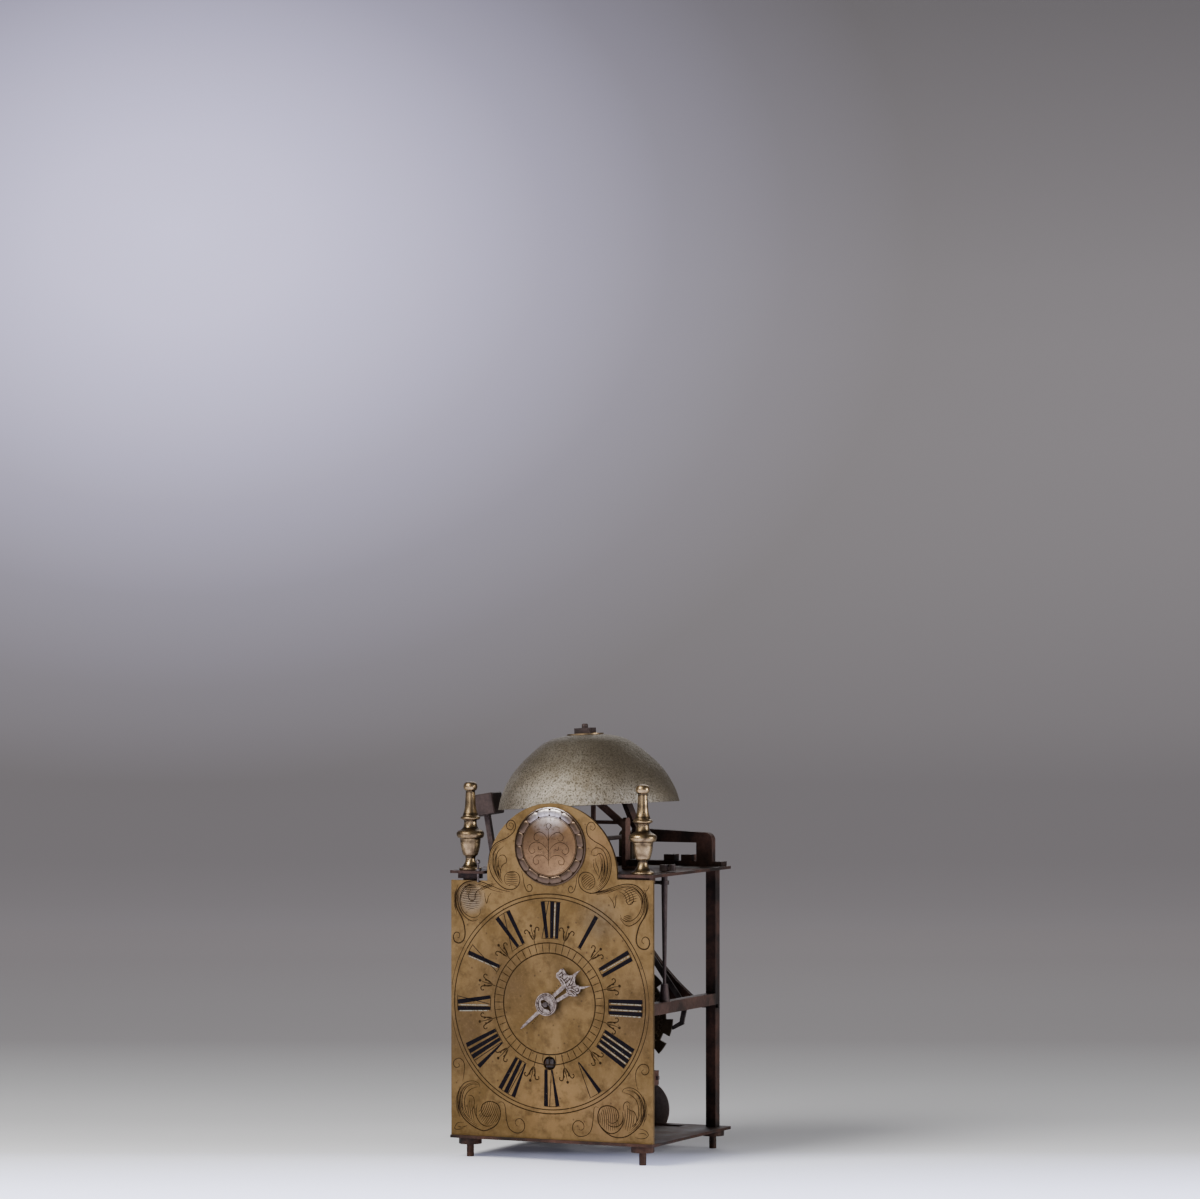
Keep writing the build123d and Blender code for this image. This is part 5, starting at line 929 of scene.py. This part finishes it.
# Chased lines and pricks on the hand's foliate head and arms.
hand_lines = Soup()
CHASED = (
    ((11.6, 98.2), (13.4, 100.2), (14.6, 102.8), (15.6, 104.4)),
    ((11.6, 98.2), (10.4, 101.4), (8.4, 103.2), (6.4, 104.2)),
    ((12.2, 97.6), (14.4, 97.8), (16.4, 96.8), (17.8, 95.9)),
    ((9.0, 102.8), (9.0, 105.0), (8.2, 106.8)),
    ((13.8, 96.2), (15.4, 95.0), (16.6, 94.0)),
    ((6.2, 104.8), (7.6, 105.6), (8.8, 107.2)),
    ((7.0, 103.6), (8.4, 104.4), (10.2, 105.8)),
    ((9.4, 101.6), (10.8, 102.8), (12.4, 104.0)),
    ((10.2, 100.2), (12.0, 101.4), (13.8, 103.6)),
    ((9.6, 99.6), (9.0, 101.0), (7.4, 102.6)),
    ((12.6, 98.8), (14.6, 99.8), (15.8, 101.8)),
    ((13.6, 98.4), (15.6, 98.6), (17.4, 98.9)),
    ((12.4, 96.2), (14.6, 96.4), (17.4, 95.2)),
    ((16.9, 97.6), (18.2, 97.9), (18.9, 97.0), (18.2, 96.0), (17.0, 96.3), (16.9, 97.6)),
    ((12.0, 94.9), (13.4, 94.3), (15.0, 94.2)),
    ((10.6, 96.8), (11.6, 96.6), (12.4, 95.4)),
)
for points in CHASED:
    hand_lines.ribbon(smooth_line(points, 5), CHASED_WIDTH, HAND_FRONT - 0.03, HAND_BACK)
PRICKED = (((1.6, 93.6), (7.6, 100.2)), ((4.2, 91.6), (10.4, 96.2)), ((-4.6, 83.6), (-9.6, 77.2)))
for (x0, z0), (x1, z1) in PRICKED:
    for k in range(6):
        hand_lines.prism(circle(x0 + (x1 - x0) * k / 5, z0 + (z1 - z0) * k / 5, PRICK_RADIUS, 8),
                         HAND_FRONT - 0.02, HAND_BACK)
# Painted shade: a dark patch on the hub's front stands in for the shade in the hole at its centre.
HUB_HOLE_SHADE = ((-3.1, 2.1), (-1.6, 2.6), (0.2, 1.9), (1.9, -0.5), (3.0, -3.9), (1.5, -3.0), (-0.8, -2.5),
            (-2.9, -0.7))
hand_lines.prism([(HAND_X + x, HAND_Z + z) for x, z in HUB_HOLE_SHADE], HUB_FRONT - 0.03, HUB_BACK)
for radius, width in HUB_RINGS:
    hand_lines.ribbon(circle(HAND_X, HAND_Z, radius, 60), width, HUB_FRONT - 0.02, HUB_BACK, closed=True)
hand_lines.make("hand_chasing", "hand", LINE)

# -------- stage: one sweep of pale paper, in metres
VIEW_TURN = radians(25.13)
SWEEP_FRONT = -9.0
SWEEP_BACK = 2.2
SWEEP_RADIUS = 0.4
SWEEP_HALF = 12.0
SWEEP_STEPS = 16
SWEEP_HEIGHT = 7.0
WALL_FROM = 1.9                         # depth where the wall's light takes over from the floor's
FLOOR_NEAR, FLOOR_FAR = -0.5, 2.5       # depths that the floor's colour ramps span
WALL_TOP = 1.25
GLOW = (-0.458, SWEEP_BACK + SWEEP_RADIUS, 0.717)       # centre of the lit patch on the wall
GLOW_REACH = (0.81, 50.0, 0.6)
PAPER_TINT, NEAR_TINT, FAR_TINT = (0.985, 0.985, 1.0), (0.9, 0.96, 1.5), (1.07, 0.97, 1.0)
WALL_TINT, GLOW_TINT = (1.07, 0.985, 1.03), (0.82, 0.775, 1.22)
# Depth or height, and level there.
FLOOR_PAINTED_FALLOFF = (
    (-0.3, 0.88), (-0.04, 0.88), (0.063, 0.68), (0.174, 0.52), (0.294, 0.44), (0.424, 0.35), (0.565, 0.25),
    (0.72, 0.13), (1.07, 0.12), (1.5, 0.06), (2.4, 0.03),
)
FLOOR_NEAR_LIGHT = (
    (-0.49, 1.1), (-0.3, 1.7), (-0.2, 1.5), (-0.136, 0.98), (-0.05, 0.34), (0.0, 0.03), (0.05, 0.0),
    (2.4, 0.0),
)
FLOOR_FAR_LIGHT = (
    (-0.3, 0.0), (0.3, 0.0), (0.43, 0.02), (0.57, 0.062), (0.72, 0.11), (0.89, 0.112), (1.08, 0.118),
    (1.28, 0.135), (1.5, 0.152), (1.66, 0.16), (1.88, 0.165), (2.4, 0.165),
)
WALL_LIGHT = (
    (0.0, 0.165), (0.04, 0.15), (0.117, 0.148), (0.183, 0.172), (0.26, 0.187), (0.37, 0.205),
    (0.48, 0.215), (0.586, 0.215), (0.663, 0.205), (0.75, 0.18), (0.957, 0.125), (1.2, 0.1),
)
GLOW_LIGHT = (
    (0.0, 1.0), (0.167, 0.88), (0.333, 0.61), (0.5, 0.325), (0.667, 0.135), (0.833, 0.044), (1.0, 0.0),
)


def backdrop():
    """Paper whose own light and painted colour stand in for the studio's falloff: bright near, dim behind,
    a lit wall.
    """
    n = Nodes("paper")
    depth = n.span("Y", FLOOR_NEAR, FLOOR_FAR)
    rise = n.span("Z", 0.0, WALL_TOP)

    def levels(factor, stops, tint, low, high):
        return n.ramp(factor, [((at - low) / (high - low), tuple(level * c for c in tint))
                               for at, level in stops])

    # pale paper near the camera, then painted falloff: darker with depth
    paper = levels(depth, FLOOR_PAINTED_FALLOFF, PAPER_TINT, FLOOR_NEAR, FLOOR_FAR)
    near_light = levels(depth, FLOOR_NEAR_LIGHT, NEAR_TINT, FLOOR_NEAR, FLOOR_FAR)
    far_light = levels(depth, FLOOR_FAR_LIGHT, FAR_TINT, FLOOR_NEAR, FLOOR_FAR)
    wall_light = levels(rise, WALL_LIGHT, WALL_TINT, 0.0, WALL_TOP)
    from_glow = n.add("Mapping", {"Vector": n.place, "Location": GLOW, "Scale": GLOW_REACH},
                      vector_type="TEXTURE").outputs["Vector"]
    glow_share = n.add("VectorMath", {0: from_glow}, operation="LENGTH").outputs["Value"]
    glow = levels(glow_share, GLOW_LIGHT, GLOW_TINT, 0.0, 1.0)
    on_wall = n.math("GREATER_THAN", n.axis("Y"), WALL_FROM)
    light = n.mix(on_wall, n.mix(1.0, near_light, far_light, "ADD"), n.mix(1.0, wall_light, glow, "ADD"))
    n.feed(n.shader.inputs["Emission Color"], light)
    n.shader.inputs["Emission Strength"].default_value = 1.0
    return n.finish(paper, 0.85, 0.0, n.bump(n.noise(900, 3, 0.6), 0.05), 0.2)


def sweep():
    """A floor that curves up into a wall behind the clock, square to the camera."""
    line = [(SWEEP_FRONT, 0.0), (-1.0, 0.0), (0.0, 0.0), (1.0, 0.0), (SWEEP_BACK, 0.0)]
    for k in range(1, SWEEP_STEPS + 1):
        angle = pi / 2 * k / SWEEP_STEPS
        line.append((SWEEP_BACK + SWEEP_RADIUS * sin(angle), SWEEP_RADIUS * (1 - cos(angle))))
    line.append((SWEEP_BACK + SWEEP_RADIUS, SWEEP_HEIGHT))
    points = [(side / MM, along / MM, height / MM) for along, height in line
              for side in (-SWEEP_HALF, SWEEP_HALF)]
    faces = [[2 * i, 2 * i + 1, 2 * i + 3, 2 * i + 2] for i in range(len(line) - 1)]
    piece = add_object("sweep", mesh_of("sweep", points, faces), backdrop())
    piece.rotation_euler = (0, 0, VIEW_TURN)


sweep()


# -------- lights and camera
def from_view(across, depth, height):
    """A place given across, away from and above the camera's line, in metres."""
    return (across * cos(VIEW_TURN) - depth * sin(VIEW_TURN),
            across * sin(VIEW_TURN) + depth * cos(VIEW_TURN), height)


LIT_POINT = Vector((0.0, 0.0, 0.12))
# Place, sides, power in watts and colour of each soft light.
LIGHTS = {
    "softbox": (from_view(-1.02, -0.85, 1.25), (0.9, 0.9), 46, (1.0, 0.985, 0.97)),
    "side": ((2.1, 0.25, 0.45), (0.8, 0.8), 36, (0.985, 0.985, 1.0)),
    "front": (from_view(-0.9, -2.6, 0.7), (1.2, 0.9), 14, (1.0, 0.99, 0.98)),
    "rear": ((-0.5, 1.7, 1.2), (1.4, 1.0), 8, (1.0, 0.99, 0.98)),
}
for name, (place, sides, power, colour) in LIGHTS.items():
    light = bpy.data.lights.new(name, "AREA")
    light.shape = "RECTANGLE"
    light.size, light.size_y = sides
    light.energy = power
    light.color = colour
    lamp = bpy.data.objects.new(name, light)
    lamp.location = place
    lamp.rotation_euler = (LIT_POINT - Vector(place)).to_track_quat("-Z", "Y").to_euler()
    bpy.context.scene.collection.objects.link(lamp)

ROOM_GREY, ROOM_STRENGTH = (0.55, 0.55, 0.58, 1.0), 0.26
world = bpy.data.worlds.new("studio")
bpy.context.scene.world = world
world.use_nodes = True
background = world.node_tree.nodes["Background"]
background.inputs["Color"].default_value = ROOM_GREY
background.inputs["Strength"].default_value = ROOM_STRENGTH

SENSOR, LENS = 36.0, 149.0              # in millimetres
CAMERA_PLACE = (1.2032, -2.555, 0.3142)
camera_data = bpy.data.cameras.new("camera")
camera_data.sensor_width = SENSOR
camera_data.lens = LENS
camera = bpy.data.objects.new("camera", camera_data)
camera.location = CAMERA_PLACE
camera.rotation_euler = (radians(90), 0, VIEW_TURN)
bpy.context.scene.collection.objects.link(camera)
bpy.context.scene.camera = camera
